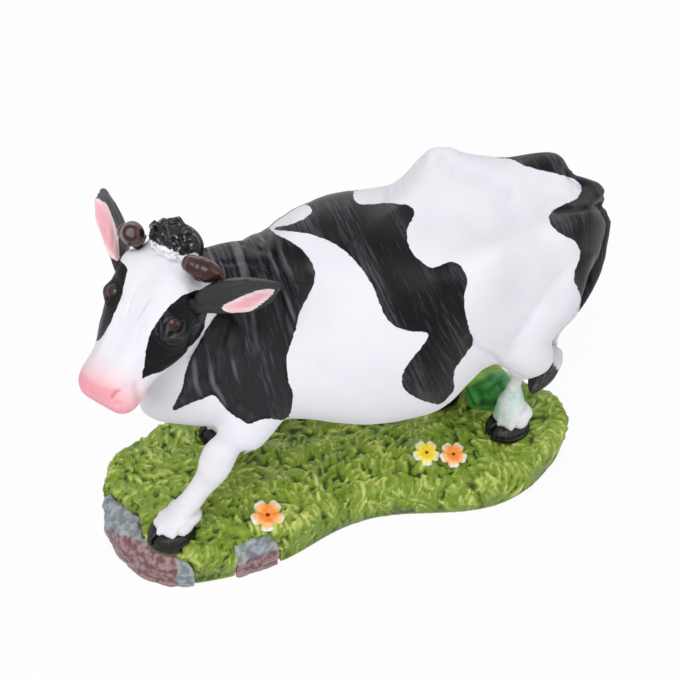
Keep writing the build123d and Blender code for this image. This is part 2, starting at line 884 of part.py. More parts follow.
pieces = {
    "base_mound": base_mound,
    "leaf_clump": leaf_clump,
    "body": body,
    "udder": udder,
    "head": head,
    "forelock": forelock,
    "tail": tail,
    "tail_switch": tail_switch,
}
for name, shares in rocks.items():
    pieces[name] = make_rock(shares)
for name, root in ears.items():
    pieces[name] = make_ear(root)
for name, root in horns.items():
    pieces[name] = make_horn(root)
for name, rim in eyes.items():
    pieces[name] = make_eye(rim)
for name in legs:
    pieces[f"{name}_leg"] = make_leg(name)
    pieces[f"{name}_hoof"] = make_hoof(name)
for name, (centre, size) in flowers.items():
    pieces[name] = make_flower(centre, size)

for name, piece in pieces.items():
    piece.part.label = name
    export_step(piece.part, f"parts/{name}.step")
    print(name, len(piece.part.solids()), round(piece.part.volume))
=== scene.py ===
import itertools
import math
import random

import bmesh
import bpy
import numpy as np
from mathutils import Matrix, Vector, noise
from mathutils.bvhtree import BVHTree


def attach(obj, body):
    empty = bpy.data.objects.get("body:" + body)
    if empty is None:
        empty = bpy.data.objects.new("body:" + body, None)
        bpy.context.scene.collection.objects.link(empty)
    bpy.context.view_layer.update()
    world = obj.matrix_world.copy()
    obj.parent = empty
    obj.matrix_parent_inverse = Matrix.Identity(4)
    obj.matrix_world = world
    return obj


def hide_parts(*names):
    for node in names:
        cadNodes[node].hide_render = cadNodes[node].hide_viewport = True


# Painted resin cow on a grassy base. The cow faces -X, its left side is at -Y.
# Sizes in the dictionaries are millimetres unless a note says otherwise.

mm = 0.001
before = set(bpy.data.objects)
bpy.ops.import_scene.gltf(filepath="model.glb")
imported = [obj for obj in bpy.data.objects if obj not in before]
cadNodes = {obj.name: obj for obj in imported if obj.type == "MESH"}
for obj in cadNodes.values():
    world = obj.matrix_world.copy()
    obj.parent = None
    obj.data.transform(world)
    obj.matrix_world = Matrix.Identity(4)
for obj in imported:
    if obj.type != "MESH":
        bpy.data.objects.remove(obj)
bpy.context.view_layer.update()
print("frame loaded:", len(cadNodes), "nodes")


# ---- camera and lamps

shot = {
    "eye": (-81.3, -270.7, 297.4),
    "ahead": (0.2207, 0.7217, -0.6561),
    "lens": 75.2,
    "sensor": 36,
    "frameSize": 680,      # the photograph's frame, pixels
}

camData = bpy.data.cameras.new("shotCamera")
camData.lens = shot["lens"]
camData.sensor_width = shot["sensor"]
camData.clip_start = 0.01
camera = bpy.data.objects.new("shotCamera", camData)
bpy.context.scene.collection.objects.link(camera)
camera.location = Vector(shot["eye"]) * mm
camera.rotation_mode = "QUATERNION"
camera.rotation_quaternion = Vector(shot["ahead"]).to_track_quat("-Z", "Y")
bpy.context.scene.camera = camera
bpy.context.scene.view_settings.view_transform = "Standard"

eyePoint = np.array(shot["eye"])
eyeAhead = np.array(shot["ahead"]) / np.linalg.norm(shot["ahead"])
eyeRight = np.cross(eyeAhead, (0, 0, 1))
eyeRight /= np.linalg.norm(eyeRight)
eyeUp = np.cross(eyeRight, eyeAhead)
focalPixels = shot["lens"] / shot["sensor"] * shot["frameSize"]
frameMiddle = shot["frameSize"] / 2


def inPhoto(points):
    # where points (in mm) fall in the photograph's frame, in its pixels
    away = points - eyePoint
    depth = away @ eyeAhead
    across = frameMiddle + focalPixels * (away @ eyeRight) / depth
    down = frameMiddle - focalPixels * (away @ eyeUp) / depth
    return np.stack([across, down], axis=-1)


lamps = [
    # name, place, size, watts; all look at lampAim
    ("keyLamp", (-260, -330, 520), 420, 2.45),
    ("fillLamp", (420, -420, 330), 520, 1.0),
    ("rimLamp", (120, 460, 420), 420, 0.85),
]
lampAim = Vector((0, 0, 45))
for name, place, size, watts in lamps:
    lampData = bpy.data.lights.new(name, "AREA")
    lampData.shape = "DISK"
    lampData.size = size * mm
    lampData.energy = watts
    lamp = bpy.data.objects.new(name, lampData)
    bpy.context.scene.collection.objects.link(lamp)
    lamp.location = Vector(place) * mm
    lamp.rotation_mode = "QUATERNION"
    lamp.rotation_quaternion = (lampAim - Vector(place)).to_track_quat("-Z", "Y")


# ---- small helpers for meshes

def newPiece(name, bm, material, replaced, slotName, **measures):
    # a visible piece, with the measures of its points that its paint reads
    mesh = bpy.data.meshes.new(name)
    bm.to_mesh(mesh)
    bm.free()
    piece = bpy.data.objects.new(name, mesh)
    bpy.context.scene.collection.objects.link(piece)
    mesh.shade_smooth()
    mesh.materials.append(material)
    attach(piece, "root")
    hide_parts(*replaced)
    for key, values in measures.items():
        kind, field = ("FLOAT_VECTOR", "vector") if values.ndim > 1 else ("FLOAT", "value")
        data = mesh.attributes.new(key, kind, "POINT").data
        data.foreach_set(field, np.asarray(values, np.float32).ravel())
    return piece


def copyOfNodes(names):
    # the CAD solids of these nodes in one bmesh, their loose triangles merged
    bm = bmesh.new()
    for name in names:
        bm.from_mesh(cadNodes[name].data)
    bmesh.ops.remove_doubles(bm, verts=bm.verts, dist=0.001 * mm)
    return bm


def remeshed(bm, voxel, name):
    # a closed skin round everything in the bmesh, made with the Remesh modifier
    mesh = bpy.data.meshes.new(name)
    bm.to_mesh(mesh)
    bm.free()
    lump = bpy.data.objects.new(name, mesh)
    bpy.context.scene.collection.objects.link(lump)
    remesh = lump.modifiers.new("skin", "REMESH")
    remesh.mode = "VOXEL"
    remesh.voxel_size = voxel * mm
    depsgraph = bpy.context.evaluated_depsgraph_get()
    skin = bpy.data.meshes.new_from_object(lump.evaluated_get(depsgraph))
    bpy.data.objects.remove(lump)
    bpy.data.meshes.remove(mesh)
    out = bmesh.new()
    out.from_mesh(skin)
    bpy.data.meshes.remove(skin)
    return out


def pointsOf(bm):
    return np.array([v.co for v in bm.verts]) / mm


def normalsOf(bm):
    bm.normal_update()
    return np.array([v.normal for v in bm.verts])


def putPoints(bm, points):
    for vert, point in zip(bm.verts, points * mm):
        vert.co = point


def smoothed(bm, turns, factor=0.5, mask=None):
    # smooth_vert on all vertices, or on the masked ones only
    verts = [v for k, v in enumerate(bm.verts) if mask is None or mask[k]]
    for turn in range(turns):
        bmesh.ops.smooth_vert(bm, verts=verts, factor=factor,
                              use_axis_x=True, use_axis_y=True, use_axis_z=True)


def netOf(bm):
    return pointsOf(bm), normalsOf(bm)


def pushOut(bm, points, normals, push, calm=0.0):
    # moves the points out along their normals, then calms the net a little
    putPoints(bm, points + normals * push[:, None])
    if calm:
        smoothed(bm, 1, calm)


def unit(values):
    return np.clip(values, 0, 1)


def bump(distance, reach):
    # 1 at no distance, easing to 0 at reach on either side
    share = unit(1 - np.abs(distance) / reach)
    return share * share * (3 - 2 * share)


def toPolyline(points, line, closed=False):
    # distance of each point to a line through the given corners
    line = np.array(line, float)
    ends = np.roll(line, -1, axis=0)
    count = len(line) if closed else len(line) - 1
    best = np.full(len(points), 1e9)
    for k in range(count):
        start, run = line[k], ends[k] - line[k]
        share = unit(((points - start) @ run) / max(run @ run, 1e-9))
        away = points - start - share[:, None] * run
        best = np.minimum(best, np.linalg.norm(away, axis=1))
    return best


def insideOutline(points, corners):
    # True where a flat point lies inside a closed outline
    corners = np.array(corners, float)
    x, y = points[:, 0], points[:, 1]
    inside = np.zeros(len(points), bool)
    for (x1, y1), (x2, y2) in zip(corners, np.roll(corners, -1, axis=0)):
        if y1 == y2:
            continue
        crosses = (y1 > y) != (y2 > y)
        inside ^= crosses & (x < x1 + (y - y1) / (y2 - y1) * (x2 - x1))
    return inside


def rounded(corners, turns=2):
    # cuts the corners of a closed outline, so that painted edges run in curves
    corners = np.array(corners, float)
    for turn in range(turns):
        after = np.roll(corners, -1, axis=0)
        corners = np.stack([corners * 0.75 + after * 0.25, corners * 0.25 + after * 0.75],
                           axis=1).reshape(-1, 2)
    return corners


def signedInside(points, corners, scale):
    # distance inside (+) or outside (-) an outline, divided by scale
    corners = rounded(corners)
    far = toPolyline(points, corners, closed=True)
    return np.where(insideOutline(points, corners), far, -far) / scale


def direction(vector):
    # the same way, one long
    return vector / np.linalg.norm(vector)


def addEllipsoid(bm, centre, halves, turn=Matrix.Identity(4)):
    # round a centre in mm, by its three half axes
    verts = bmesh.ops.create_icosphere(bm, subdivisions=4, radius=1)["verts"]
    pose = Matrix(halves).transposed().to_4x4()
    move = Matrix.Translation(Vector(centre) * mm) @ turn @ pose @ Matrix.Scale(mm, 4)
    bmesh.ops.transform(bm, matrix=move, verts=verts)


# ---- painted materials

def makeNode(tree, kind, inputs, **settings):
    # a shader node; its inputs are numbers, colours or signals
    node = tree.nodes.new("ShaderNode" + kind)
    for name, value in settings.items():
        setattr(node, name, value)
    for name, value in inputs.items():
        if isinstance(value, Signal):
            tree.links.new(value.socket, node.inputs[name])
        else:
            node.inputs[name].default_value = value
    return node


class Signal:
    # a value or colour in a node tree, so that sums of them are written as sums
    def __init__(self, socket):
        self.socket = socket
        self.tree = socket.id_data

    def math(self, operation, first, second):
        node = makeNode(self.tree, "Math", {0: first, 1: second}, operation=operation)
        return Signal(node.outputs[0])

    def __add__(self, other):
        return self.math("ADD", self, other)

    __radd__ = __add__

    def __sub__(self, other):
        return self.math("SUBTRACT", self, other)

    def __rsub__(self, other):
        return self.math("SUBTRACT", other, self)

    def __mul__(self, other):
        return self.math("MULTIPLY", self, other)

    def atLeast(self, other):
        return self.math("MAXIMUM", self, other)

    def clamped(self):
        self.socket.node.use_clamp = True
        return self

    def step(self, low, high):
        # eases from 0 at low to 1 at high
        node = makeNode(self.tree, "MapRange", {"Value": self, "From Min": low, "From Max": high},
                        interpolation_type="SMOOTHSTEP")
        return Signal(node.outputs["Result"])

    def noise(self, scale, detail=3.0, roughness=0.5):
        node = makeNode(self.tree, "TexNoise", {"Vector": self, "Scale": scale, "Detail": detail,
                                                "Roughness": roughness})
        return Signal(node.outputs["Fac"])

    def vector(self, operation, name, value):
        node = makeNode(self.tree, "VectorMath", {0: self, name: value}, operation=operation)
        return Signal(node.outputs[0])

    def mix(self, *colours):
        # this share of the second colour over the first
        first, second = (c if isinstance(c, Signal) else (*c, 1) for c in colours)
        node = makeNode(self.tree, "Mix", {0: self, 6: first, 7: second}, data_type="RGBA")
        return Signal(node.outputs[2])


def newGroup(name, inputs, build):
    # a node group from its inputs' defaults (none for a vector) and what build makes of them
    tree = bpy.data.node_groups.new(name, "ShaderNodeTree")
    for label, value in inputs.items():
        kind = "NodeSocketVector" if value is None else "NodeSocketFloat"
        socket = tree.interface.new_socket(name=label, in_out="INPUT", socket_type=kind)
        if value is not None:
            socket.default_value = value
    inside = tree.nodes.new("NodeGroupInput")
    made = build(*[Signal(inside.outputs[label]) for label in inputs])
    for label in made:
        tree.interface.new_socket(name=label, in_out="OUTPUT", socket_type="NodeSocketFloat")
    outside = tree.nodes.new("NodeGroupOutput")
    for label, signal in made.items():
        tree.links.new(signal.socket, outside.inputs[label])
    return tree


def streaksOf(lay, perMm, cover):
    # streaks of a dry brush along the laid hair: x of the vector runs across them
    fine = lay.vector("SCALE", "Scale", perMm).noise(1.0, 3.0, 0.65)
    cloud = lay.noise(0.22, 2.0, 0.5)
    above = fine * 0.62 + cloud * 0.55 - (0.85 - cover * 0.4)
    return {"Streaks": above.step(-0.03, 0.19), "Relief": fine}


def castingOf(place, holesPerMetre):
    # what resin castings show under their paint: pinholes, faint lumps and grain
    cells = makeNode(place.tree, "TexVoronoi", {"Vector": place, "Scale": holesPerMetre,
                                                "Randomness": 1.0})
    picked = makeNode(place.tree, "SeparateColor", {0: Signal(cells.outputs["Color"])})
    dots = 1.0 - Signal(cells.outputs["Distance"]).step(0.030, 0.052)
    holes = dots * Signal(picked.outputs[0]).step(0.90, 0.91)
    lumps, grain = place.noise(260.0, 3.0, 0.6), place.noise(1900.0, 2.0, 0.6)
    return {"Pinholes": holes, "Height": lumps * 0.7 + grain * 0.16 - holes * 0.9,
            "Mottle": place.noise(55.0, 4.0, 0.55)}


brushStrokes = newGroup("brushStrokes", {"Along Hair": None, "Strokes Per Millimetre": 2.0,
                                         "Cover": 0.5}, streaksOf)
castSurface = newGroup("castSurface", {"Place": None, "Pinholes Per Metre": 130.0}, castingOf)


def newMaterial(name, roughness=0.5, coat=0.0, coatRoughness=0.2, specular=0.5):
    material = bpy.data.materials.new(name)
    material.use_nodes = True
    tree = material.node_tree
    shader = tree.nodes["Principled BSDF"]
    shader.inputs["Roughness"].default_value = roughness
    shader.inputs["Coat Weight"].default_value = coat
    shader.inputs["Coat Roughness"].default_value = coatRoughness
    shader.inputs["Specular IOR Level"].default_value = specular
    return material, tree, shader


class Paint:
    # one painted material, with its place on the piece and the casting under it
    def __init__(self, name, holesPerMetre, *finish):
        self.material, self.tree, self.shader = newMaterial(name, *finish)
        self.place = Signal(self.tree.nodes.new("ShaderNodeTexCoord").outputs["Object"])
        if holesPerMetre:
            self.cast = self.group(castSurface, {"Place": self.place,
                                                 "Pinholes Per Metre": holesPerMetre})

    def group(self, group, inputs):
        node = makeNode(self.tree, "Group", inputs, node_tree=group)
        return {out.name: Signal(out) for out in node.outputs}

    def strokes(self, lay, perMm, cover):
        return self.group(brushStrokes, {"Along Hair": lay, "Strokes Per Millimetre": perMm,
                                         "Cover": cover})

    def attribute(self, name, output="Fac"):
        node = makeNode(self.tree, "Attribute", {}, attribute_name=name)
        return Signal(node.outputs[output])

    def done(self, colour, rough, height=None, strength=0.5, distance=0.3):
        # what feeds the shader; height is pressed into it as bumps of distance mm
        feeds = {"Base Color": colour, "Roughness": rough}
        if height:
            node = makeNode(self.tree, "Bump", {"Strength": strength, "Distance": distance * mm,
                                                "Height": height})
            feeds["Normal"] = Signal(node.outputs["Normal"])
        for name, signal in feeds.items():
            self.tree.links.new(signal.socket, self.shader.inputs[name])
        return self.material


# ---- the studio round it

def whiteWhenSeen(tree, plain, white, amount, output):
    # the lens and the reflections see white, while the light stays soft
    path = tree.nodes.new("ShaderNodeLightPath")
    share = Signal(path.outputs["Is Camera Ray"])
    for ray in ("Is Glossy Ray", "Is Transmission Ray"):
        share = share.atLeast(Signal(path.outputs[ray]))
    mixed = makeNode(tree, "MixShader", {0: share * amount, 1: Signal(plain.outputs[0]),
                                         2: Signal(white.outputs[0])})
    tree.links.new(mixed.outputs[0], output.inputs[0])


world = bpy.data.worlds.new("studio")
bpy.context.scene.world = world
world.use_nodes = True
sky = world.node_tree
sky.nodes.clear()
skyLight = makeNode(sky, "Background", {"Color": (0.97, 0.97, 1, 1), "Strength": 0.37})
skySeen = makeNode(sky, "Background", {"Color": (1, 1, 1, 1)})
whiteWhenSeen(sky, skyLight, skySeen, 1.0, sky.nodes.new("ShaderNodeOutputWorld"))


# ---- the cow's hide: trunk, head, legs, udder and tail as one cast and painted skin

headPose = {
    "poll": (-39.7, -7.0, 94.8),
    "turn": 36.5,
    "drop": 33.0,
    "lean": -11.0,
}
turn, drop, lean = (math.radians(headPose[k]) for k in ("turn", "drop", "lean"))
flatNose = np.array([-math.cos(turn), -math.sin(turn), 0])
flatLeft = np.array([math.sin(turn), -math.cos(turn), 0])
noseWay = flatNose * math.cos(drop) - np.array([0, 0, math.sin(drop)])
leftWay = flatLeft * math.cos(lean) + np.cross(noseWay, flatLeft) * math.sin(lean)
browWay = np.cross(noseWay, leftWay)


def inHead(points):
    # along the nose, to the cow's left and to the brow, in mm from the poll
    away = points - np.array(headPose["poll"])
    return np.stack([away @ noseWay, away @ leftWay, away @ browWay], axis=-1)


def fromHead(along, left, brow):
    return np.array(headPose["poll"]) + along * noseWay + left * leftWay + brow * browWay


hide = {
    "voxel": 0.74,
    "black": (0.004, 0.004, 0.005),
    "blackStroke": (0.135, 0.137, 0.155),
    "white": (0.83, 0.815, 0.855),
    "whiteCool": (0.79, 0.785, 0.845),
    "whiteShade": (0.50, 0.51, 0.62),
    "pink": (0.87, 0.38, 0.44),
    "palePink": (0.88, 0.62, 0.64),
    "mint": (0.42, 0.66, 0.56),
    "pinkShade": (0.66, 0.22, 0.23),
    "pinhole": (0.16, 0.15, 0.17),
}

hidePieces = {
    # CAD node: name of the skin piece, its slot
    "body": ("cowTrunk", "coat"),
    "head": ("cowHead", "face"),
    "udder": ("cowUdder", "face"),
    "tail": ("cowTail", "coat"),
    "fore_left_leg": ("foreLeftLeg", "coat"),
    "fore_right_leg": ("foreRightLeg", "coat"),
    "hind_left_leg": ("hindLeftLeg", "coat"),
    "hind_right_leg": ("hindRightLeg", "coat"),
}
hideNodes = list(hidePieces)
softJoints = [
    # where castings meet and the skin runs on: centre, reach
    ((-38, -6, 88), 15), ((-31, -19, 43), 12), ((-24, 15, 36), 10), ((47, -10, 39), 10),
    ((46, 12, 38), 10), ((71, 0, 81), 6), ((50, 0, 45), 12), ((-24, -16, 50), 14),
    ((-24, 14, 46), 12), ((48, -14, 50), 12), ((48, 14, 50), 12), ((73, -4, 70), 9),
    ((74, -4, 60), 9), ((72, -4, 51), 8),
]
pixelsPerMm = 3.5          # in the photograph's frame, across the line of sight
upPixelsPerMm = 2.72       # the same for a move straight up
hoofBack = 1.5             # how far the near hind hoof stands behind its rough form, mm

# outlines of the black patches as the photograph's frame shows them, in its pixels
coatOutlines = {
    "neckPatch": [
        (196, 240), (206, 228), (232, 216), (262, 212), (270, 231), (284, 238), (301, 247),
        (315, 266), (315, 282), (308, 297), (298, 315), (297, 325), (291, 344), (286, 359),
        (287, 370), (289, 385), (294, 392), (290, 418), (282, 421), (270, 418), (258, 421), (248, 425),
        (241, 420), (229, 413), (220, 402), (214, 394), (205, 398), (194, 402), (187, 405),
        (168, 414), (183, 389), (184, 375), (191, 356), (201, 339), (210, 323), (215, 313),
        (205, 290), (196, 262),
    ],
    "leftCheek": [
        (141, 380), (145, 361), (146, 346), (151, 332), (158, 321), (167, 308), (180, 296),
        (196, 290), (206, 288), (212, 300), (207, 313), (205, 325), (200, 338), (191, 350),
        (180, 361), (163, 371), (146, 377),
    ],
    "rightCheek": [
        (122, 262), (128, 268), (125, 280), (122, 296), (117, 308), (112, 320), (106, 332),
        (99, 342), (60, 350), (55, 250), (110, 250),
    ],
    "saddle": [
        (267, 230), (280, 206), (304, 188), (330, 176), (356, 180), (352, 199), (360, 205),
        (379, 203), (395, 203), (409, 205), (415, 211), (413, 219), (407, 227), (407, 241),
        (411, 251), (419, 260), (431, 269), (441, 265), (452, 261), (460, 264), (467, 276),
        (468, 284), (464, 294), (465, 312), (470, 332), (474, 338), (473, 345), (464, 357),
        (455, 369), (453, 377), (455, 389), (449, 397), (441, 405), (429, 403), (415, 398),
        (403, 389), (401, 379), (405, 367), (417, 353), (427, 340), (429, 332), (413, 332),
        (397, 328), (385, 318), (379, 302), (373, 286), (360, 266), (343, 249), (329, 241),
        (311, 234), (298, 232),
    ],
    "rump": [
        (514, 159), (523, 166), (537, 169), (555, 174), (570, 177), (579, 182), (582, 190),
        (578, 198), (568, 203), (559, 206), (551, 212), (548, 218), (552, 227), (562, 235),
        (574, 240), (579, 247), (580, 252), (578, 265), (574, 270), (574, 282), (578, 289),
        (582, 300), (576, 318), (588, 316), (606, 290), (622, 250), (620, 190), (600, 160),
        (560, 140), (500, 146), (490, 157),
    ],
}
whiteWedge = [(267, 228), (285, 215), (300, 203), (310, 206), (313, 213), (300, 221), (285, 226)]

# black patches on the side that the photograph doesn't show, in x and z millimetres
farOutlines = {
    "farSaddle": [
        (-14, 96), (26, 96), (32, 80), (27, 66), (32, 52), (24, 40), (10, 44), (4, 56), (-8, 64),
        (-17, 76),
    ],
    "farNeck": [
        (-50, 104), (-24, 100), (-19, 86), (-25, 70), (-21, 56), (-30, 44), (-43, 46), (-46, 60),
        (-52, 70), (-60, 84),
    ],
    "farRump": [
        (48, 99), (80, 96), (80, 50), (70, 48), (66, 60), (58, 68), (62, 80), (54, 88),
    ],
}


hideTrees = {}
for name in hideNodes:
    solid = copyOfNodes([name])
    hideTrees[name] = BVHTree.FromBMesh(solid)
    solid.free()


def nearestNode(points):
    # which CAD node each point of the skin belongs to, by its place in hideNodes
    owner = np.zeros(len(points), int)
    for index, point in enumerate(points * mm):
        where = Vector(point)
        reach = 1.0
        for place, name in enumerate(hideNodes):
            away = hideTrees[name].find_nearest(where, reach)[3]
            if away is not None and away < reach:
                reach = away
                owner[index] = place
    return owner


def facingPhoto(points, normals):
    # 1 where the skin looks at the lens, 0 edge on, less on the far side
    away = points - eyePoint
    away /= np.linalg.norm(away, axis=1)[:, None]
    return -np.sum(away * normals, axis=1)


# the far cheek's patch, along the nose and towards the brow, in mm from the poll
farCheek = [(2, 8), (12, 8), (20, 6), (26, -1), (29, -8), (24, -14), (12, -17), (2, -13)]
paintReach = 2.5           # beyond this many mm from its edge a patch is plain black or white


def paintedBlack(points, normals, isHead):
    # millimetres inside (+) or outside (-) the black patches, all round the hide
    seen, head = inPhoto(points), inHead(points)
    nowhere = np.full(len(points), -60.0)
    near = far = nowhere
    for name, corners in coatOutlines.items():
        belongs = isHead if name in ("leftCheek", "rightCheek") else ~isHead
        if name == "neckPatch":
            belongs = belongs | (head[:, 0] < 3.0)
        inThis = signedInside(seen, corners, pixelsPerMm)
        near = np.maximum(near, np.where(belongs, inThis, nowhere))
    near = np.minimum(near, -signedInside(seen, whiteWedge, pixelsPerMm))
    behindCurls = np.where(isHead & (head[:, 2] > -4), 1.0 - head[:, 0], nowhere)
    near = np.maximum(near, behindCurls)
    for corners in farOutlines.values():
        far = np.maximum(far, signedInside(points[:, [0, 2]], corners, 1.0))
    cheek = signedInside(head[:, [0, 2]], farCheek, 1.0)
    cheek = np.maximum(np.where(head[:, 1] < -3, cheek, nowhere), behindCurls)
    far = np.where(isHead & (head[:, 0] > 3.0), cheek, far)
    near, far = (np.clip(side, -paintReach, paintReach) for side in (near, far))
    share = unit((facingPhoto(points, normals) + 0.06) / 0.20)
    # nothing is black below z 35, so the legs stay white
    black = np.minimum(far + (near - far) * share, points[:, 2] - 35)
    return np.clip(black, -paintReach, paintReach)


tableSize = 128
strokeTable = np.random.default_rng(7).random((tableSize, tableSize))


def softNoise(across, along):
    # smooth noise between 0 and 1 over a plane
    x, y = np.floor(across).astype(int), np.floor(along).astype(int)
    fx, fy = across - x, along - y
    fx, fy = fx * fx * (3 - 2 * fx), fy * fy * (3 - 2 * fy)
    corner = [strokeTable[(x + i) % tableSize, (y + j) % tableSize]
              for i in (0, 1) for j in (0, 1)]
    low = corner[0] + (corner[2] - corner[0]) * fx
    high = corner[1] + (corner[3] - corner[1]) * fx
    return low + (high - low) * fy


def hairLay(points, isHead):
    # x runs across the hair and y along it, in mm; z keeps the head's hair apart
    down = 108 - points[:, 2]
    strand = points[:, 0].copy()
    starts = [-70, -40, -24, 4, 30, 50, 75]
    leans = [-0.62, -0.50, -0.10, 0.50, 0.48, 0.34, 0.20]
    for turn in range(14):
        # the strand through each point, by the x that it starts from on the back
        lean = np.interp(strand, starts, leans)
        strand = 0.5 * strand + 0.5 * (points[:, 0] - lean * down)
    head = inHead(points)
    across = np.where(isHead, head[:, 1] + head[:, 2] * 0.8, strand * (1 + down / 160))
    along = np.where(isHead, head[:, 0], down + np.abs(points[:, 1]))
    return np.stack([across, along, np.where(isHead, 31.0, 0.0)], axis=-1)


# lines pressed into the skin (-) or raised from it (+), traced in the photograph's frame
carvedLines = [
    # corners, half-width in pixels, height in mm
    ([(109, 406), (113, 400), (117, 398)], 3.2, -0.9),                  # nostril
    ([(104, 401), (110, 393), (120, 391)], 6.0, 0.40),
    ([(84, 397), (94, 405), (106, 411), (118, 411)], 4.5, -0.30),       # mouth
    ([(136, 392), (139, 404), (143, 414), (150, 424)], 9.0, -0.6),      # behind the jaw
    ([(211, 296), (209, 312), (205, 327), (199, 342), (188, 358)], 4.0, -0.6),  # cheek edge
    ([(229, 318), (220, 345), (208, 370), (193, 392)], 7.0, -0.55),     # neck folds
    ([(247, 318), (241, 345), (229, 372), (213, 392)], 6.0, -0.35),
    ([(262, 322), (260, 350), (252, 378), (238, 405)], 7.0, -0.45),
    ([(280, 300), (281, 330), (277, 360), (272, 392)], 7.0, -0.45),
    ([(238, 240), (262, 247), (285, 262), (296, 280)], 6.0, -0.5),
    ([(222, 262), (250, 262), (270, 274)], 5.0, -0.45),
    ([(221, 384), (235, 392), (243, 408), (262, 417)], 7.0, -0.5),      # above the elbow
    ([(430, 156), (440, 149), (452, 152)], 10.0, 0.9),                  # hip bone
    ([(440, 152), (470, 162), (505, 172), (520, 168)], 12.0, 0.4),
    ([(455, 172), (480, 180), (508, 190)], 13.0, -0.4),
    ([(505, 200), (514, 235), (520, 270), (518, 300)], 22.0, -0.45),    # thigh muscles
    ([(470, 340), (486, 352), (505, 372), (522, 384)], 8.0, -0.5),
    ([(500, 366), (515, 376), (530, 380)], 5.0, 0.35),
    ([(318, 290), (326, 335), (328, 372)], 24.0, -0.4),                 # behind the shoulder
    ([(556, 210), (580, 208), (606, 205)], 5.0, -0.8),                  # between tail and rump
    ([(570, 170), (580, 184)], 5.0, -0.5),
    ([(530, 232), (556, 250), (560, 300), (548, 340)], 16.0, -0.35),
    ([(192, 440), (187, 455), (186, 470)], 6.0, 0.4),                   # knee
    ([(222, 455), (214, 470)], 6.0, 0.3),
]

legFeet = {
    # leg node: hoof centre x, y, way the toe points in degrees from -X to the left
    "fore_left_leg": (-50.9, -18.7, 22),
    "fore_right_leg": (-29.1, 14.9, 6),
    "hind_left_leg": (47.8, -7.3, 14),
    "hind_right_leg": (34.9, 11.8, 0),
}


def eyeWay(side):
    return direction(0.20 * noseWay + side * 0.93 * leftWay + 0.30 * browWay)


def eyePlace(side):
    # where the middle of the lids lies on the rough head
    start = Vector(fromHead(16.2, side * 9.6, 1.4) + eyeWay(side) * 14) * mm
    return np.array(hideTrees["head"].ray_cast(start, -Vector(eyeWay(side)))[0]) / mm


def eyePush(points, side):
    # lids, the folds round them and the brow over one eye; the ball fills the opening
    centre = eyePlace(side)
    out = eyeWay(side)
    fore = direction(noseWay - out * (noseWay @ out))
    rise = np.cross(fore, out)
    rise *= np.sign(rise @ browWay)
    away = points - centre
    s, t, deep = away @ fore, away @ rise, away @ out
    flat = np.hypot(s, t)
    near = (np.abs(deep) < 4.5) & (flat < 9)
    s = s - 1.0
    upper = 0.72 - 0.14 * s * s
    lower = -0.95 + 0.16 * s * s
    outside = np.maximum(np.maximum(t - upper, lower - t), np.abs(s) - 2.3)
    lid = 0.42 * np.exp(-((outside - 0.55) / 0.60) ** 2) * unit(outside * 3 + 1)
    ball = -0.55 * unit(-outside * 4)
    wrinkles = -0.15 * np.cos(outside * 4.6 + 0.5 * s) * bump(outside - 2.2, 1.9)
    wrinkles *= np.clip(0.65 + t * 0.4, 0.2, 1)
    brow = 0.55 * np.exp(-((flat - 5.0) / 1.5) ** 2) * unit(t / 3.5)
    return np.where(near, lid + ball + wrinkles + brow, 0)


def sculptHead(points):
    head = inHead(points)
    u, v, w = head.T
    push = eyePush(points, 1) + eyePush(points, -1)
    push += 0.55 * bump(np.hypot(u - 10, w + 10), 8.0) * (np.abs(v) > 6)      # cheek muscle
    push -= 0.40 * bump(np.hypot(u - 10, w + 10) - 8.6, 1.6) * (np.abs(v) > 6) * (u > 2)
    push += 0.45 * bump(w + 6.0 - 0.12 * (u - 20), 2.2) * (np.abs(v) > 5) * bump(u - 24, 8)
    push -= 0.35 * bump(v, 3.2) * bump(u - 27, 10) * (w > -3)    # nose bridge
    push += 0.40 * bump(np.abs(v) - 4.6, 2.0) * bump(u - 25, 11) * (w > -4)
    push -= 0.30 * bump(v, 4.0) * bump(u - 9, 6) * (w > 0)
    push -= 0.35 * bump(w + 8.6 - 0.05 * (41 - u), 0.9) * unit((u - 24) / 5)
    return push


def sculptLegs(points, names):
    push = np.zeros(len(points))
    for leg, (x, y, toe) in legFeet.items():
        mine = names == hideNodes.index(leg)
        across, along = points[:, 0] - x, points[:, 1] - y
        turned = np.arctan2(-along, -across) - math.radians(toe)
        height = points[:, 2]
        skirt = bump(height - 15.6, 2.6)
        push += mine * skirt * (0.55 + 0.45 * np.sin(turned * 7 + 0.6) + 0.25 * np.sin(turned * 12))
        heel = np.cos(turned - math.pi)
        push += mine * bump(height - 18.2, 2.6) * unit(heel * 2 - 0.9) * 2.0   # dewclaws
        push -= mine * bump(height - 18.2, 3.0) * unit(heel * 8 - 7.1) * 0.9
        push -= mine * bump(height - 20.4, 2.2) * 0.30
        push += mine * (softNoise(turned * 4 + 9, height / 3.4) - 0.5) * 0.30 * (height > 16)
    return push


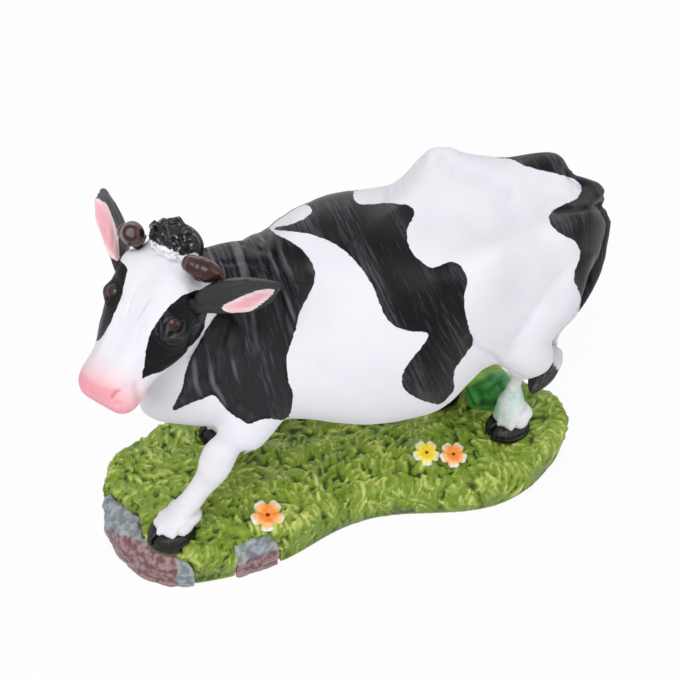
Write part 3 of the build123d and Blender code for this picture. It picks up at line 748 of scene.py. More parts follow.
# how far the rough form's outline has to move to meet the photograph's, in its pixels
bellyShifts = [
    # x of the photograph, y of the lower edge, shift down
    (438, 404, 0), (452, 400, -3), (466, 395, -9), (480, 385, -11), (492, 374, -7), (504, 368, 0),
]
backShifts = [
    # x of the photograph, y of the top edge, shift down
    (244, 236, 0), (252, 230, 3), (260, 223, 7), (268, 218, 7), (276, 215, 4), (284, 212, 2),
    (292, 210, -1), (300, 209, -3), (316, 204, -5), (332, 198, -4), (348, 195, -4), (364, 189, -1),
    (372, 185, 2), (380, 180, 5), (388, 173, 10), (396, 167, 12), (404, 162, 11), (412, 158, 7),
    (420, 155, 2), (428, 151, -1), (444, 148, -1), (484, 157, -1), (508, 158, -1), (548, 155, -3),
    (556, 157, -3), (564, 160, -1), (572, 164, 4), (580, 169, 4), (588, 174, 1), (600, 182, 0),
]
rumpShifts = [
    # y of the photograph, x of the right edge, shift to the right
    (158, 562, 0), (166, 575, -3), (174, 588, -9), (182, 597, 3), (190, 601, 4), (198, 606, -1),
    (206, 611, -9), (214, 612, -5), (222, 611, 0), (300, 590, 0), (318, 578, -3), (326, 574, -8),
    (334, 570, -11), (342, 566, -11), (350, 563, -8), (358, 563, -5), (368, 560, 0),
]


def locksOf(lay):
    # ridges of the combed hair on the neck, 0 in a furrow and 1 on a ridge
    wave = 1.3 * softNoise(lay[:, 1] / 9 + 3, lay[:, 0] / 16)
    return np.abs(softNoise(lay[:, 0] / 1.15 + wave, lay[:, 1] / 30) * 2 - 1)


def shiftAt(table, place, across, reach, side=1):
    # the table's shift at each point, fading out over reach pixels inward from the edge
    x, edge, shift = np.array(table, float).T
    depth = (across - np.interp(place, x, edge)) * side
    return np.interp(place, x, shift, 0, 0) * bump(np.maximum(depth, 0), reach)


def followOutline(points):
    # moves the skin so that its outline meets the photograph's
    across, down = inPhoto(points).T
    upWay = np.array((0, 0, 1))
    x, edge, shift = np.array(bellyShifts, float).T
    depth = np.interp(across, x, edge) - down
    shift = np.interp(across, x, shift, 0, 0) * bump(depth, 34) * unit((points[:, 2] - 29) / 4)
    points = points - (shift / upPixelsPerMm)[:, None] * upWay
    # the back and the rump go by where they were seen before the belly moved
    shift = shiftAt(backShifts, across, down, 42)
    points = points - (shift / upPixelsPerMm)[:, None] * upWay
    shift = shiftAt(rumpShifts, down, across, 30, -1) * (across > 500)
    return points + (shift / pixelsPerMm)[:, None] * eyeRight


def hindLeftLean(points):
    # the near hind leg comes down from further back than in the casting's rough form
    heights, leans = [0, 14, 22, 30, 37, 50], [hoofBack, hoofBack, 2.2, 3.9, 3.4, 0]
    lean = np.interp(points[:, 2], heights, leans)
    lean = lean - (points[:, 0] - 43.5) * 0.17 * bump(points[:, 2] - 21, 8) * (points[:, 0] < 58)
    near = unit((points[:, 1] + 0.5) / -3.0) * unit((points[:, 0] - 36) / 3)
    near *= unit((66 - points[:, 0]) / 8)
    return (lean * near)[:, None] * np.array((1, 0, 0))


def sculptHide(bm):
    smoothed(bm, 4)
    points = pointsOf(bm)
    soft = np.zeros(len(points), bool)
    for centre, reach in softJoints:
        soft |= np.linalg.norm(points - np.array(centre), axis=1) < reach
    smoothed(bm, 20, mask=soft)
    points = pointsOf(bm)
    # a finer net for the head and the carved neck
    onNeck = signedInside(inPhoto(points), coatOutlines["neckPatch"], 1) > -6
    onNeck &= (facingPhoto(points, normalsOf(bm)) > 0) & (points[:, 0] < -14)
    fine = (nearestNode(points) == hideNodes.index("head")) | onNeck
    fine &= points[:, 2] > 30
    edges = [e for e in bm.edges if fine[e.verts[0].index] and fine[e.verts[1].index]]
    bmesh.ops.subdivide_edges(bm, edges=edges, cuts=1, use_grid_fill=True)
    bm.verts.index_update()
    points = pointsOf(bm)
    smoothed(bm, 2, mask=(points[:, 2] > 30) & (points[:, 0] < -12))
    points, normals = netOf(bm)
    names = nearestNode(points)
    isHead = names == hideNodes.index("head")
    seen = inPhoto(points)
    visible = unit((facingPhoto(points, normals) - 0.05) / 0.2)
    push = np.where(isHead, sculptHead(points), 0) + sculptLegs(points, names)
    for line, halfWidth, height in carvedLines:
        push += visible * height * bump(toPolyline(seen, line), halfWidth)
    lay = hairLay(points, isHead)
    inPatch = signedInside(seen, coatOutlines["neckPatch"], pixelsPerMm)
    inPatch = unit(inPatch / 1.5) * visible * ~isHead
    push += inPatch * (0.90 * locksOf(lay) - 0.45)
    x, y, z = points.T
    push += (softNoise(x / 5.2 + z / 9, y / 6 + z / 5.5) - 0.5) * 0.28 * ~isHead
    points = points + normals * push[:, None]
    # a slightly shorter head with a slimmer muzzle than the casting's rough form
    head = inHead(points)
    back = np.clip(head[:, 0] - 8, 0, 40) * 0.055
    slim = unit((head[:, 0] - 24) / 14) * 0.07
    move = -back[:, None] * noseWay - (slim * head[:, 1])[:, None] * leftWay
    points = points + np.where(isHead[:, None], move, 0)
    points = np.where(isHead[:, None], points, followOutline(points))
    points = points + hindLeftLean(points)
    cannon = (names == hideNodes.index("fore_left_leg")) * bump(points[:, 2] - 25, 6)
    points = points - normals * (0.55 * cannon)[:, None]
    putPoints(bm, points)
    smoothed(bm, 1, 0.35)
    return names


def reliefOf(bm, turns, scale):
    # how far each point stands out of its smoothed neighbourhood
    points, normals = netOf(bm)
    smoothed(bm, turns)
    calm = pointsOf(bm)
    putPoints(bm, points)
    return np.sum((points - calm) * normals, axis=1) / scale


def makeHideMaterial():
    paint = Paint("paintedHide", 170.0, 0.46, 0.0, 0.35, 0.13)
    place, cast, relief = paint.place, paint.cast, paint.attribute("relief")
    lay = paint.attribute("hairLay", "Vector").vector("MULTIPLY", 1, (1.0, 0.045, 1.0))
    hair = paint.strokes(lay, 2.3, 0.62 + relief * 0.35)
    edge = paint.attribute("blackPatch") + (place.noise(650.0, 2.0) - 0.5) * 0.8
    isBlack = edge.step(-0.08, 0.14)
    groove = (relief * -0.55).clamped()
    pinkShare = paint.attribute("pink")
    patchy = paint.attribute("mint") * place.noise(420.0).step(0.30, 0.62)
    white = cast["Mottle"].step(0.30, 0.80).mix(hide["white"], hide["whiteCool"])
    for share, colour in ((groove, "whiteShade"), (pinkShare.step(0.0, 0.8), "palePink"),
                          (pinkShare.step(0.4, 1.1), "pink"),
                          (groove * pinkShare.step(0.3, 0.9), "pinkShade"), (patchy, "mint")):
        white = share.mix(white, hide[colour])
    strokes = (hair["Streaks"] * 0.42).atLeast(paint.attribute("strand") * 0.85)
    colour = isBlack.mix(white, strokes.mix(hide["black"], hide["blackStroke"]))
    colour = (cast["Pinholes"] * 0.55).mix(colour, hide["pinhole"])
    rough = 0.52 - isBlack * 0.20 + hair["Relief"] * 0.10
    height = hair["Relief"] * (0.10 + isBlack * 0.9) + cast["Height"] * 0.35
    return paint.done(colour, rough, height, 0.7, 0.36)


def makeHide():
    bm = copyOfNodes(hideNodes + ["eye_left", "eye_right"])
    # the poll between the horns, under the curls
    addEllipsoid(bm, fromHead(-2.0, -0.6, 1.4), (leftWay * 6.2, noseWay * 4.6, browWay * 5.6))
    bm = remeshed(bm, hide["voxel"], "hideLump")
    names = sculptHide(bm)
    points, normals = netOf(bm)
    isHead = names == hideNodes.index("head")
    head = inHead(points)
    seen = inPhoto(points)
    pink = np.where(isHead, np.clip((head[:, 0] - 27.5 + head[:, 2] * -0.15) / 12.0, 0, 1.25), 0)
    pink += isHead * 0.3 * bump(toPolyline(seen, [(80, 378), (96, 390), (112, 393)]), 8)
    hindLeft = names == hideNodes.index("hind_left_leg")
    mint = np.where(hindLeft, unit((512 - seen[:, 0]) / 14), 0)
    mint = np.maximum(mint, hindLeft * bump(points[:, 2] - 26, 8) * 0.8)
    lay = hairLay(points, isHead)
    broken = unit(softNoise(lay[:, 0] * 0.9 + 50, lay[:, 1] / 9) * 2.6 - 0.35)
    onNeck = unit(signedInside(seen, coatOutlines["neckPatch"], pixelsPerMm) / 1.2) * ~isHead
    # lower down the neck the grey strokes cover at least this share
    lowerNeckGrey = 0.15 * unit((88 - points[:, 2]) / 22)
    measures = {
        "blackPatch": paintedBlack(points, normals, isHead),
        "relief": np.clip(reliefOf(bm, 5, 0.16), -1.5, 1.5),
        "pink": pink,
        "mint": mint,
        "strand": onNeck * np.maximum(lowerNeckGrey, broken * unit((locksOf(lay) - 0.56) / 0.28)),
        "hairLay": lay,
    }
    material = makeHideMaterial()
    source = bm.verts.layers.int.new("source")
    for vert in bm.verts:
        vert[source] = vert.index
    faceOwner = [int(names[face.verts[0].index]) for face in bm.faces]
    bm.faces.ensure_lookup_table()
    whole = bpy.data.meshes.new("hideWhole")
    bm.to_mesh(whole)
    bm.free()
    for place, name in enumerate(hideNodes):
        # one casting's share of the skin, closed where it meets its neighbours
        part = bmesh.new()
        part.from_mesh(whole)
        other = [face for face, owner in zip(part.faces, faceOwner) if owner != place]
        bmesh.ops.delete(part, geom=other, context="FACES")
        layer = part.verts.layers.int["source"]
        rims = [edge for edge in part.edges if edge.is_boundary]
        caps = bmesh.ops.holes_fill(part, edges=rims, sides=0)["faces"]
        heart = Vector(points[[vert[layer] for vert in part.verts]].mean(axis=0) * mm)
        for cap in caps:
            rim = cap.verts[0][layer]
            sunk = min(2.5 * mm, (heart - cap.calc_center_median()).length * 0.3)
            for vert in bmesh.ops.poke(part, faces=[cap])["verts"]:
                vert[layer] = rim
                vert.co += (heart - vert.co).normalized() * sunk
        index = np.array([vert[layer] for vert in part.verts])
        part.verts.layers.int.remove(layer)
        pieceName, slotName = hidePieces[name]
        own = {key: numbers[index] for key, numbers in measures.items()}
        piece = newPiece(pieceName, part, material, [name], slotName, **own)
        piece.data.normals_split_custom_set_from_vertices(normals[index])
    bpy.data.meshes.remove(whole)
    print("hide:", len(points), "points in", len(hideNodes), "pieces")


makeHide()


def lumpy(points, size, seed=0.0):
    # soft three-way noise about nothing, one lump to every size mm
    return np.array([noise.noise(Vector(point)) for point in points / size + seed])


def castCopy(name, voxel, turns=2):
    bm = remeshed(copyOfNodes([name]), voxel, name + "Lump")
    smoothed(bm, turns)
    return bm


# ---- ears

ears = {
    "voxel": 0.40,
    "inside": (0.90, 0.40, 0.45),
    "insidePale": (0.93, 0.72, 0.74),
    "outside": (0.010, 0.010, 0.013),
    "outsideStroke": (0.11, 0.11, 0.125),
    "tipShift": {"ear_left": (0.2, 0.0, 3.0), "ear_right": (2.6, 0.0, 0.4)},
}
earOutlines = {
    # the pink inside of each ear in the photograph's frame
    "ear_left": [(219, 307), (227, 313), (240, 313), (252, 311), (265, 302), (276, 291), (273, 288),
                 (262, 289), (249, 293), (236, 299)],
    "ear_right": [(94, 197), (105, 201), (113, 216), (118, 234), (121, 264), (108, 256), (98, 240),
                  (92, 221), (90, 205)],
}


def makeEarMaterial():
    paint = Paint("paintedEar", 140.0, 0.5, 0.08, 0.3, 0.35)
    cast, inside = paint.cast, paint.attribute("earInside")
    hair = paint.strokes(paint.attribute("hairLay", "Vector"), 2.2, 0.42)
    pink = inside.step(0.2, 1.9).mix(ears["insidePale"], ears["inside"])
    pink = (cast["Mottle"] * 0.35).mix(pink, ears["insidePale"])
    black = (hair["Streaks"] * 0.6).mix(ears["outside"], ears["outsideStroke"])
    edge = inside + (hair["Relief"] - 0.5) * 1.3
    colour = edge.step(-0.08, 0.20).mix(black, pink)
    height = hair["Relief"] + cast["Height"] * 0.3
    return paint.done(colour, 0.40 + hair["Relief"] * 0.2, height, 0.5, 0.25)


earMaterial = makeEarMaterial()


def makeEar(node, pieceName):
    bm = castCopy(node, ears["voxel"], 3)
    points, normals = netOf(bm)
    root = points[np.argmin(np.linalg.norm(points - fromHead(9, 0, 0), axis=1))]
    tip = points[np.argmax(np.linalg.norm(points - root, axis=1))]
    length = np.linalg.norm(tip - root)
    axis = (tip - root) / length
    opening = direction(noseWay - axis * (noseWay @ axis))
    across = np.cross(axis, opening)
    share = unit((points - root) @ axis / length)
    aside = (points - root) @ across
    steps = np.linspace(0, 1, 21)
    widths = [np.abs(aside[np.abs(share - step) < 0.06]).max() for step in steps]
    half = np.interp(share, steps, widths)
    openness = normals @ opening
    # cup the open side, ridge the back and comb both
    cup = unit((openness - 0.2) / 0.5) * unit(1 - (aside / np.maximum(half, 1)) ** 2)
    push = -0.9 * cup * np.sin(share * math.pi)
    combed = softNoise(aside / 1.1 + 40, share * 5)
    push += (np.abs(combed * 2 - 1) - 0.5) * 0.42
    points = points + normals * push[:, None]
    points += (share ** 1.4)[:, None] * np.array(ears["tipShift"][node])
    putPoints(bm, points)
    smoothed(bm, 1, 0.4)
    points, normals = netOf(bm)
    traced = signedInside(inPhoto(points), earOutlines[node], pixelsPerMm)
    byShape = np.minimum((half - np.abs(aside)) * 0.9 - 1.0, (openness - 0.25) * 4)
    byShape = np.minimum(byShape, (share - 0.22) * length * 0.5)
    facing = unit((facingPhoto(points, normals) + 0.25) / 0.30)
    newPiece(pieceName, bm, earMaterial, [node], "coat",
             earInside=byShape + (traced - byShape) * facing,
             hairLay=np.column_stack([aside, share * length / 7, openness * 0.4]))


makeEar("ear_left", "leftEar")
makeEar("ear_right", "rightEar")


# ---- horns

horns = {
    "voxel": 0.30,
    "brown": (0.026, 0.007, 0.006),
    "mauve": (0.12, 0.062, 0.062),
    "ember": (0.066, 0.014, 0.010),
    # each blunt horn as the photograph shows it: centre in its pixels, half sizes in mm
    # along, across and towards the lens, turn in degrees, and how much of its own size the
    # casting's horn keeps inside it
    "form": {
        "horn_left": (202.0, 268.5, 5.1, 2.6, 2.7, -22, 0.72),
        "horn_right": (132.6, 234.0, 2.8, 3.0, 3.6, 10, 0.80),
    },
}


def makeHornMaterial():
    paint = Paint("glossyHorn", 260.0, 0.22, 0.22, 0.08, 0.25)
    mottle = paint.cast["Mottle"]
    ring = (paint.attribute("hornRing") + mottle * 0.3).step(0.75, 1.15)
    colour = paint.place.noise(420.0).step(0.42, 0.75).mix(horns["brown"], horns["ember"])
    colour = (ring * 0.7).mix(colour, horns["mauve"])
    return paint.done(colour, 0.18 + mottle * 0.2, paint.cast["Height"], 0.5, 0.35)


hornMaterial = makeHornMaterial()


def makeHorn(node, pieceName, side):
    across, down, longHalf, wideHalf, deepHalf, turn, shrunk = horns["form"][node]
    bm = copyOfNodes([node])
    solid = pointsOf(bm)
    root = fromHead(2.9, side * 9.4, 4.0)
    far = np.linalg.norm(solid - root, axis=1)
    depth = ((solid - eyePoint) @ eyeAhead)[far > far.max() * 0.5].mean()
    centre = eyePoint + depth * (eyeAhead + eyeRight * (across - frameMiddle) / focalPixels
                                 - eyeUp * (down - frameMiddle) / focalPixels)
    putPoints(bm, root + (solid - root) * shrunk)
    lean = Matrix.Rotation(math.radians(turn), 4, Vector(-eyeAhead))
    halves = (eyeRight * longHalf, eyeUp * wideHalf, eyeAhead * deepHalf)
    addEllipsoid(bm, centre, halves, lean)
    bm = remeshed(bm, horns["voxel"], node + "Lump")
    smoothed(bm, 6)
    points, normals = netOf(bm)
    # the near horn points across the photograph, the far one at the lens
    way, reach = -eyeAhead, deepHalf
    if side > 0:
        way, reach = np.array(lean.to_3x3() @ Vector(-eyeRight)), longHalf
    share = unit(((points - centre) @ way) / reach * 0.5 + 0.5)
    # a blunt end with a rim, and growth rings
    push = 0.05 * np.sin(share * 24 + lumpy(points, 3.0) * 2) * bump(share - 0.5, 0.45)
    push += 0.16 * bump(share - 0.88, 0.09) - 0.22 * bump(share - 1.0, 0.06)
    push += lumpy(points, 1.8, 5.0) * 0.10
    pushOut(bm, points, normals, push, 0.4)
    newPiece(pieceName, bm, hornMaterial, [node], "horn",
             hornRing=bump(share - 0.86, 0.12) + 0.8 * bump(share, 0.25))


makeHorn("horn_left", "leftHorn", 1)
makeHorn("horn_right", "rightHorn", -1)


# ---- eyes

eyes = {
    "radius": 2.3,
    "proud": 0.85,
    "iris": (0.040, 0.010, 0.008),
    "pupil": (0.010, 0.004, 0.004),
    "white": (0.060, 0.030, 0.030),
}


def makeEyeMaterial():
    paint = Paint("glossyEye", None, 0.2, 0.12, 0.08, 0.2)
    mottle = paint.place.noise(1500.0)
    look = paint.attribute("fromPupil") + mottle * 0.16
    colour = look.step(0.42, 0.56).mix(eyes["pupil"], eyes["iris"])
    colour = look.step(1.05, 1.25).mix(colour, eyes["white"])
    return paint.done(colour, 0.08 + mottle * 0.12)


eyeMaterial = makeEyeMaterial()
headTree = BVHTree.FromObject(bpy.data.objects["cowHead"], bpy.context.evaluated_depsgraph_get())


def makeEye(node, pieceName, side):
    bm = bmesh.new()
    radius = eyes["radius"]
    bmesh.ops.create_uvsphere(bm, u_segments=40, v_segments=24, radius=radius * mm)
    # a slight cornea, then turned to look out from its socket
    rim = radius * mm * 0.8
    for vert in bm.verts:
        if vert.co.z > rim:
            vert.co.z += (vert.co.z - rim) * 0.35
    # the ball stands a little out of the floor between the lids
    out = eyeWay(side)
    start = Vector(eyePlace(side) - 0.45 * noseWay + 12 * out) * mm
    socket = np.array(headTree.ray_cast(start, -Vector(out))[0]) / mm
    centre = socket + out * (eyes["proud"] - radius)
    turnOut = Vector(out + 0.25 * noseWay).to_track_quat("Z", "Y").to_matrix().to_4x4()
    move = Matrix.Translation(Vector(centre) * mm) @ turnOut
    bmesh.ops.transform(bm, matrix=move, verts=bm.verts)
    gaze = np.array(turnOut.to_3x3() @ Vector((0, 0, 1)))
    towards = (pointsOf(bm) - centre) / radius @ gaze
    newPiece(pieceName, bm, eyeMaterial, [node], "eye",
             fromPupil=np.arccos(np.clip(towards, -1, 1)))


makeEye("eye_left", "leftEye", 1)
makeEye("eye_right", "rightEye", -1)


# ---- curly forelock

forelock = {
    "voxel": 0.27,
    "curls": 40,
    "black": (0.010, 0.010, 0.012),
    "white": (0.80, 0.80, 0.84),
    "tip": (0.42, 0.42, 0.46),
}


def makeForelockMaterial():
    paint = Paint("curlyForelock", 220.0, 0.36, 0.08, 0.2, 0.25)
    place, relief = paint.place, paint.attribute("relief")
    fringe = paint.attribute("fringe") + relief * 0.5 + (place.noise(900.0) - 0.5) * 2.2
    brushed = (relief + place.noise(1600.0) * 0.8).step(0.95, 1.5)
    colour = (brushed * 0.75).mix(forelock["black"], forelock["tip"])
    colour = fringe.step(-0.1, 0.5).mix(colour, forelock["white"])
    return paint.done(colour, 0.28 + paint.cast["Mottle"] * 0.2, paint.cast["Height"], 0.5, 0.3)


def addCurl(bm, centre, out, size, spin, rng):
    # one snail curl: a little ring swept round its own axis, lifted as it goes
    out = Vector(out).normalized()
    side = out.orthogonal().normalized()
    side.rotate(Matrix.Rotation(rng.uniform(0, 2 * math.pi), 3, out))
    radius = 0.50 * size * mm
    ring = bmesh.ops.create_circle(bm, cap_ends=True, segments=7, radius=radius)["verts"]
    stand = Vector(side).cross(out).to_track_quat("Z", "Y").to_matrix().to_4x4()
    move = Matrix.Translation((Vector(centre) + side * size) * mm) @ stand
    bmesh.ops.transform(bm, matrix=move, verts=ring)
    faces = list({face for vert in ring for face in vert.link_faces})
    edges = list({edge for vert in ring for edge in vert.link_edges})
    bmesh.ops.spin(bm, geom=ring + faces + edges,
                   cent=Vector(centre) * mm, axis=out, dvec=out * 0.09 * size * mm,
                   angle=spin, steps=10, use_duplicate=False)


def makeForelock():
    core = copyOfNodes(["forelock"])
    tree = BVHTree.FromBMesh(core)
    solid = np.array([v.co for v in core.verts]) / mm
    middle = solid.mean(axis=0)
    rng = random.Random(11)
    goldenTurn = 2.4
    for k in range(forelock["curls"]):
        # evenly over the upper half, by golden turns
        lift = 1 - (k + 0.5) / forelock["curls"] * 1.05
        level = math.sqrt(max(0, 1 - lift * lift))
        way = (browWay * lift + leftWay * level * math.cos(goldenTurn * k)
               + noseWay * level * math.sin(goldenTurn * k))
        start = Vector(middle + way * 20) * mm
        hit, normal = tree.ray_cast(start, -Vector(way))[:2]
        if hit is None:
            continue
        centre = np.array(hit) / mm + way * 0.05
        size, spin = rng.uniform(0.75, 1.15), rng.choice((-1, 1)) * 4.9
        addCurl(core, centre, np.array(normal) + way * 0.6, size, spin, rng)
    bm = remeshed(core, forelock["voxel"], "forelockLump")
    smoothed(bm, 1, 0.4)
    relief = np.clip(reliefOf(bm, 8, 0.16), -1.5, 2)
    points = pointsOf(bm)
    seen = inPhoto(points)
    # below this line in the photograph the hair is painted white
    whiteFrom = [(140, 234), (156, 243), (172, 249), (182, 256), (196, 252), (206, 262)]
    low = np.interp(seen[:, 0], *np.array(whiteFrom).T)
    head = inHead(points)
    front = np.clip((head[:, 0] - 3.4 - 0.25 * np.abs(head[:, 1])) / 1.4, -1, 1)
    fringe = np.where(facingPhoto(points, normalsOf(bm)) > 0, (seen[:, 1] - low) / 3.0, front)
    newPiece("curlyForelock", bm, makeForelockMaterial(), ["forelock"], "coat",
             relief=relief, fringe=np.clip(fringe, -2, 2))


makeForelock()
print("head pieces done")


# ---- hooves

hooves = {
    "voxel": 0.42,
    "black": (0.008, 0.008, 0.009),
    "worn": (0.10, 0.085, 0.07),
    "moss": (0.16, 0.17, 0.03),
}


def makeHoofMaterial():
    paint = Paint("satinHoof", 150.0, 0.32, 0.06, 0.2, 0.22)
    hair = paint.strokes(paint.attribute("hairLay", "Vector"), 2.0, 0.55)
    colour = (hair["Streaks"] * 0.55).mix(hooves["black"], hooves["worn"])
    foot = paint.attribute("lowness") + paint.cast["Mottle"] * 0.6
    colour = foot.step(1.0, 1.35).mix(colour, hooves["moss"])
    height = hair["Relief"] + paint.cast["Height"] * 0.5
    return paint.done(colour, 0.26 + hair["Relief"] * 0.22, height, 0.4, 0.3)


hoofMaterial = makeHoofMaterial()


def makeHoof(leg, pieceName):
    node = leg.replace("_leg", "_hoof")
    x, y, toe = legFeet[leg]
    bm = castCopy(node, hooves["voxel"], 1)
    points, normals = netOf(bm)
    turned = np.arctan2(-(points[:, 1] - y), -(points[:, 0] - x)) - math.radians(toe)
    high = points[:, 2] - 10.5
    push = 0.22 * np.sin(high * 4.2 + np.sin(turned * 3)) * bump(normals[:, 2], 0.8)
    push += 0.25 * lumpy(points, 2.6, 3.0)
    push -= 0.35 * bump(turned, 0.10) * (high > 0.5)
    if leg == "hind_left_leg":
        points = points + np.array((hoofBack, 0, 0))
    pushOut(bm, points, normals, push, 0.4)
    newPiece(pieceName, bm, hoofMaterial, [node], "hoof",
             hairLay=np.column_stack([turned * 6, high / 7, np.full(len(points), x)]),
             lowness=unit(1.0 - (high - 0.6) / 2.2))


for leg, pieceName in (("fore_left_leg", "foreLeftHoof"), ("fore_right_leg", "foreRightHoof"),
                       ("hind_left_leg", "hindLeftHoof"), ("hind_right_leg", "hindRightHoof")):
    makeHoof(leg, pieceName)


# ---- switch of hair at the end of the tail

tailSwitch = {
    "voxel": 0.34,
    "root": (64, -2.7, 35),
    "axis": (-0.65, -0.48, -0.58),
    "dark": (0.018, 0.015, 0.015),
    "middle": (0.20, 0.18, 0.175),
    "pale": (0.72, 0.71, 0.74),
}


def makeSwitchMaterial():
    paint = Paint("brushedSwitch", 150.0, 0.5, 0.05, 0.3, 0.3)
    hair = paint.strokes(paint.attribute("hairLay", "Vector"), 2.4, 0.62)
    pale = paint.attribute("paleness") + (hair["Relief"] - 0.5)
    colour = hair["Streaks"].mix(tailSwitch["dark"], tailSwitch["middle"])
    colour = pale.step(0.35, 0.75).mix(colour, tailSwitch["pale"])
    return paint.done(colour, 0.42 + paint.cast["Mottle"] * 0.2, hair["Relief"], 0.6, 0.3)


def makeSwitch():
    bm = castCopy("tail_switch", tailSwitch["voxel"], 2)
    points, normals = netOf(bm)
    axis, root = direction(np.array(tailSwitch["axis"])), np.array(tailSwitch["root"])
    along = (points - root) @ axis
    off = points - root - along[:, None] * axis
    right = direction(np.cross(axis, (0, 0, 1)))
    turned = np.arctan2(off @ np.cross(right, axis), off @ right)
    locks = softNoise(turned * 3.2 + 30 + 0.05 * along, along / 9)
    share = unit(along / along.max())
    push = (np.abs(locks * 2 - 1) - 0.45) * 0.75 * unit(share * 3)
    pushOut(bm, points, normals, push, 0.35)
    # the root and the side away from the leg stay white
    seen = inPhoto(points)
    paleness = unit((seen[:, 0] - 553 + (371 - seen[:, 1]) * 0.9) / 12)
    newPiece("tailSwitch", bm, makeSwitchMaterial(), ["tail_switch"], "coat",
             hairLay=np.column_stack([turned * 3.4, along / 7, turned * 0]),
             paleness=np.maximum(paleness, unit(1 - share / 0.22)))


makeSwitch()
print("hooves and switch done")


# ---- rocks at the front of the base

rocks = {
    "voxel": 0.52,
    "blue": (0.170, 0.195, 0.235),
    "teal": (0.190, 0.235, 0.225),
    "maroon": (0.165, 0.075, 0.080),
    "pink": (0.47, 0.31, 0.32),
    "pale": (0.44, 0.46, 0.50),
}


def makeRockMaterial():
    paint = Paint("spongedRock", 160.0, 0.5, 0.1, 0.3, 0.35)
    place, blots = paint.place, paint.place.noise(520.0, 5.0, 0.7)
    warm = paint.attribute("zone") + (blots - 0.5) * 1.5
    blue = place.noise(140.0).step(0.40, 0.62).mix(rocks["blue"], rocks["teal"])
    colour = warm.step(-0.12, 0.22).mix(blue, rocks["maroon"])
    high = warm.step(-0.1, 0.4).mix(rocks["pale"], rocks["pink"])
    sponge = paint.attribute("relief") + place.noise(1700.0, 4.0, 0.75) * 1.7
    colour = (sponge.step(0.60, 1.45) * 0.70).mix(colour, high)
    return paint.done(colour, 0.36 + blots * 0.3, paint.cast["Height"] + blots, 0.6, 0.5)


rockMaterial = makeRockMaterial()


def makeRock(node, pieceName):
    bm = castCopy(node, rocks["voxel"], 12)
    points, normals = netOf(bm)
    push = 0.75 * lumpy(points, 5.5, 2.0) + 0.50 * lumpy(points, 2.3, 7.0)
    push += 0.22 * lumpy(points, 1.1, 4.0)
    push -= 0.55 * unit(lumpy(points, 3.0, 12.0) - 0.15) * 2
    push *= unit(points[:, 2] / 1.2)
    pushOut(bm, points, normals, push)
    # flat on the ground
    flat = pointsOf(bm)
    flat[points[:, 2] < 0.9, 2] = 0
    putPoints(bm, flat)
    relief = np.clip(reliefOf(bm, 6, 0.22), -1.5, 1.5)
    seen = inPhoto(points)
    if node == "rock_front":
        # blue-grey top left, a maroon band, teal at the right end
        zone = (seen[:, 1] - (530 + (seen[:, 0] - 110) * 0.36)) / 9
        zone = np.minimum(zone, (178 - seen[:, 0]) / 9)
    else:
        zone = (seen[:, 1] - 556 - (260 - seen[:, 0]) * 0.35) / 9
    newPiece(pieceName, bm, rockMaterial, [node], "rock", relief=relief, zone=np.clip(zone, -2, 2))


makeRock("rock_front", "frontRock")
makeRock("rock_side", "sideRock")


# ---- grass

flowers = {
    # CAD node: piece, centre x, y, radius, colour of the heart
    "flower_near": ("nearFlower", -25.3, -21.8, 4.6, "orange"),
    "flower_yellow": ("yellowFlower", 22.9, -12.3, 3.9, "yellow"),
    "flower_far": ("farFlower", 29.8, -15.1, 3.9, "orange"),
}
grass = {
    "voxel": 0.52,
    "blades": (2500, 700),      # first at random, then where the ground still shows
    "length": (3.4, 6.2),
    "width": (1.5, 2.9),
    "height": (0.7, 1.8),
    "shade": (0.036, 0.066, 0.006),
    "green": (0.190, 0.290, 0.026),
    "light": (0.60, 0.64, 0.18),
}


def makeGrassMaterial():
    paint = Paint("brushedGrass", 150.0, 0.40, 0.08, 0.25, 0.22)
    tone = paint.attribute("tone") + (paint.place.noise(75.0) - 0.5) * 0.9
    tone = tone + (paint.place.noise(900.0) - 0.5) * 0.5
    colour = tone.step(0.02, 0.50).mix(grass["shade"], grass["green"])
    colour = tone.step(0.50, 1.05).mix(colour, grass["light"])
    return paint.done(colour, 0.34 + paint.cast["Mottle"] * 0.25, paint.cast["Height"], 0.5, 0.4)


def makeGround():
    bm = castCopy("base_mound", grass["voxel"], 3)
    points, normals = netOf(bm)
    push = 1.6 * lumpy(points, 9.0, 1.0) + 0.5 * lumpy(points, 4.0, 8.0) - 0.5
    push *= unit((points[:, 2] - 0.8) / 2.5)
    pushOut(bm, points, normals, push)
    return bm


grassMaterial = makeGrassMaterial()


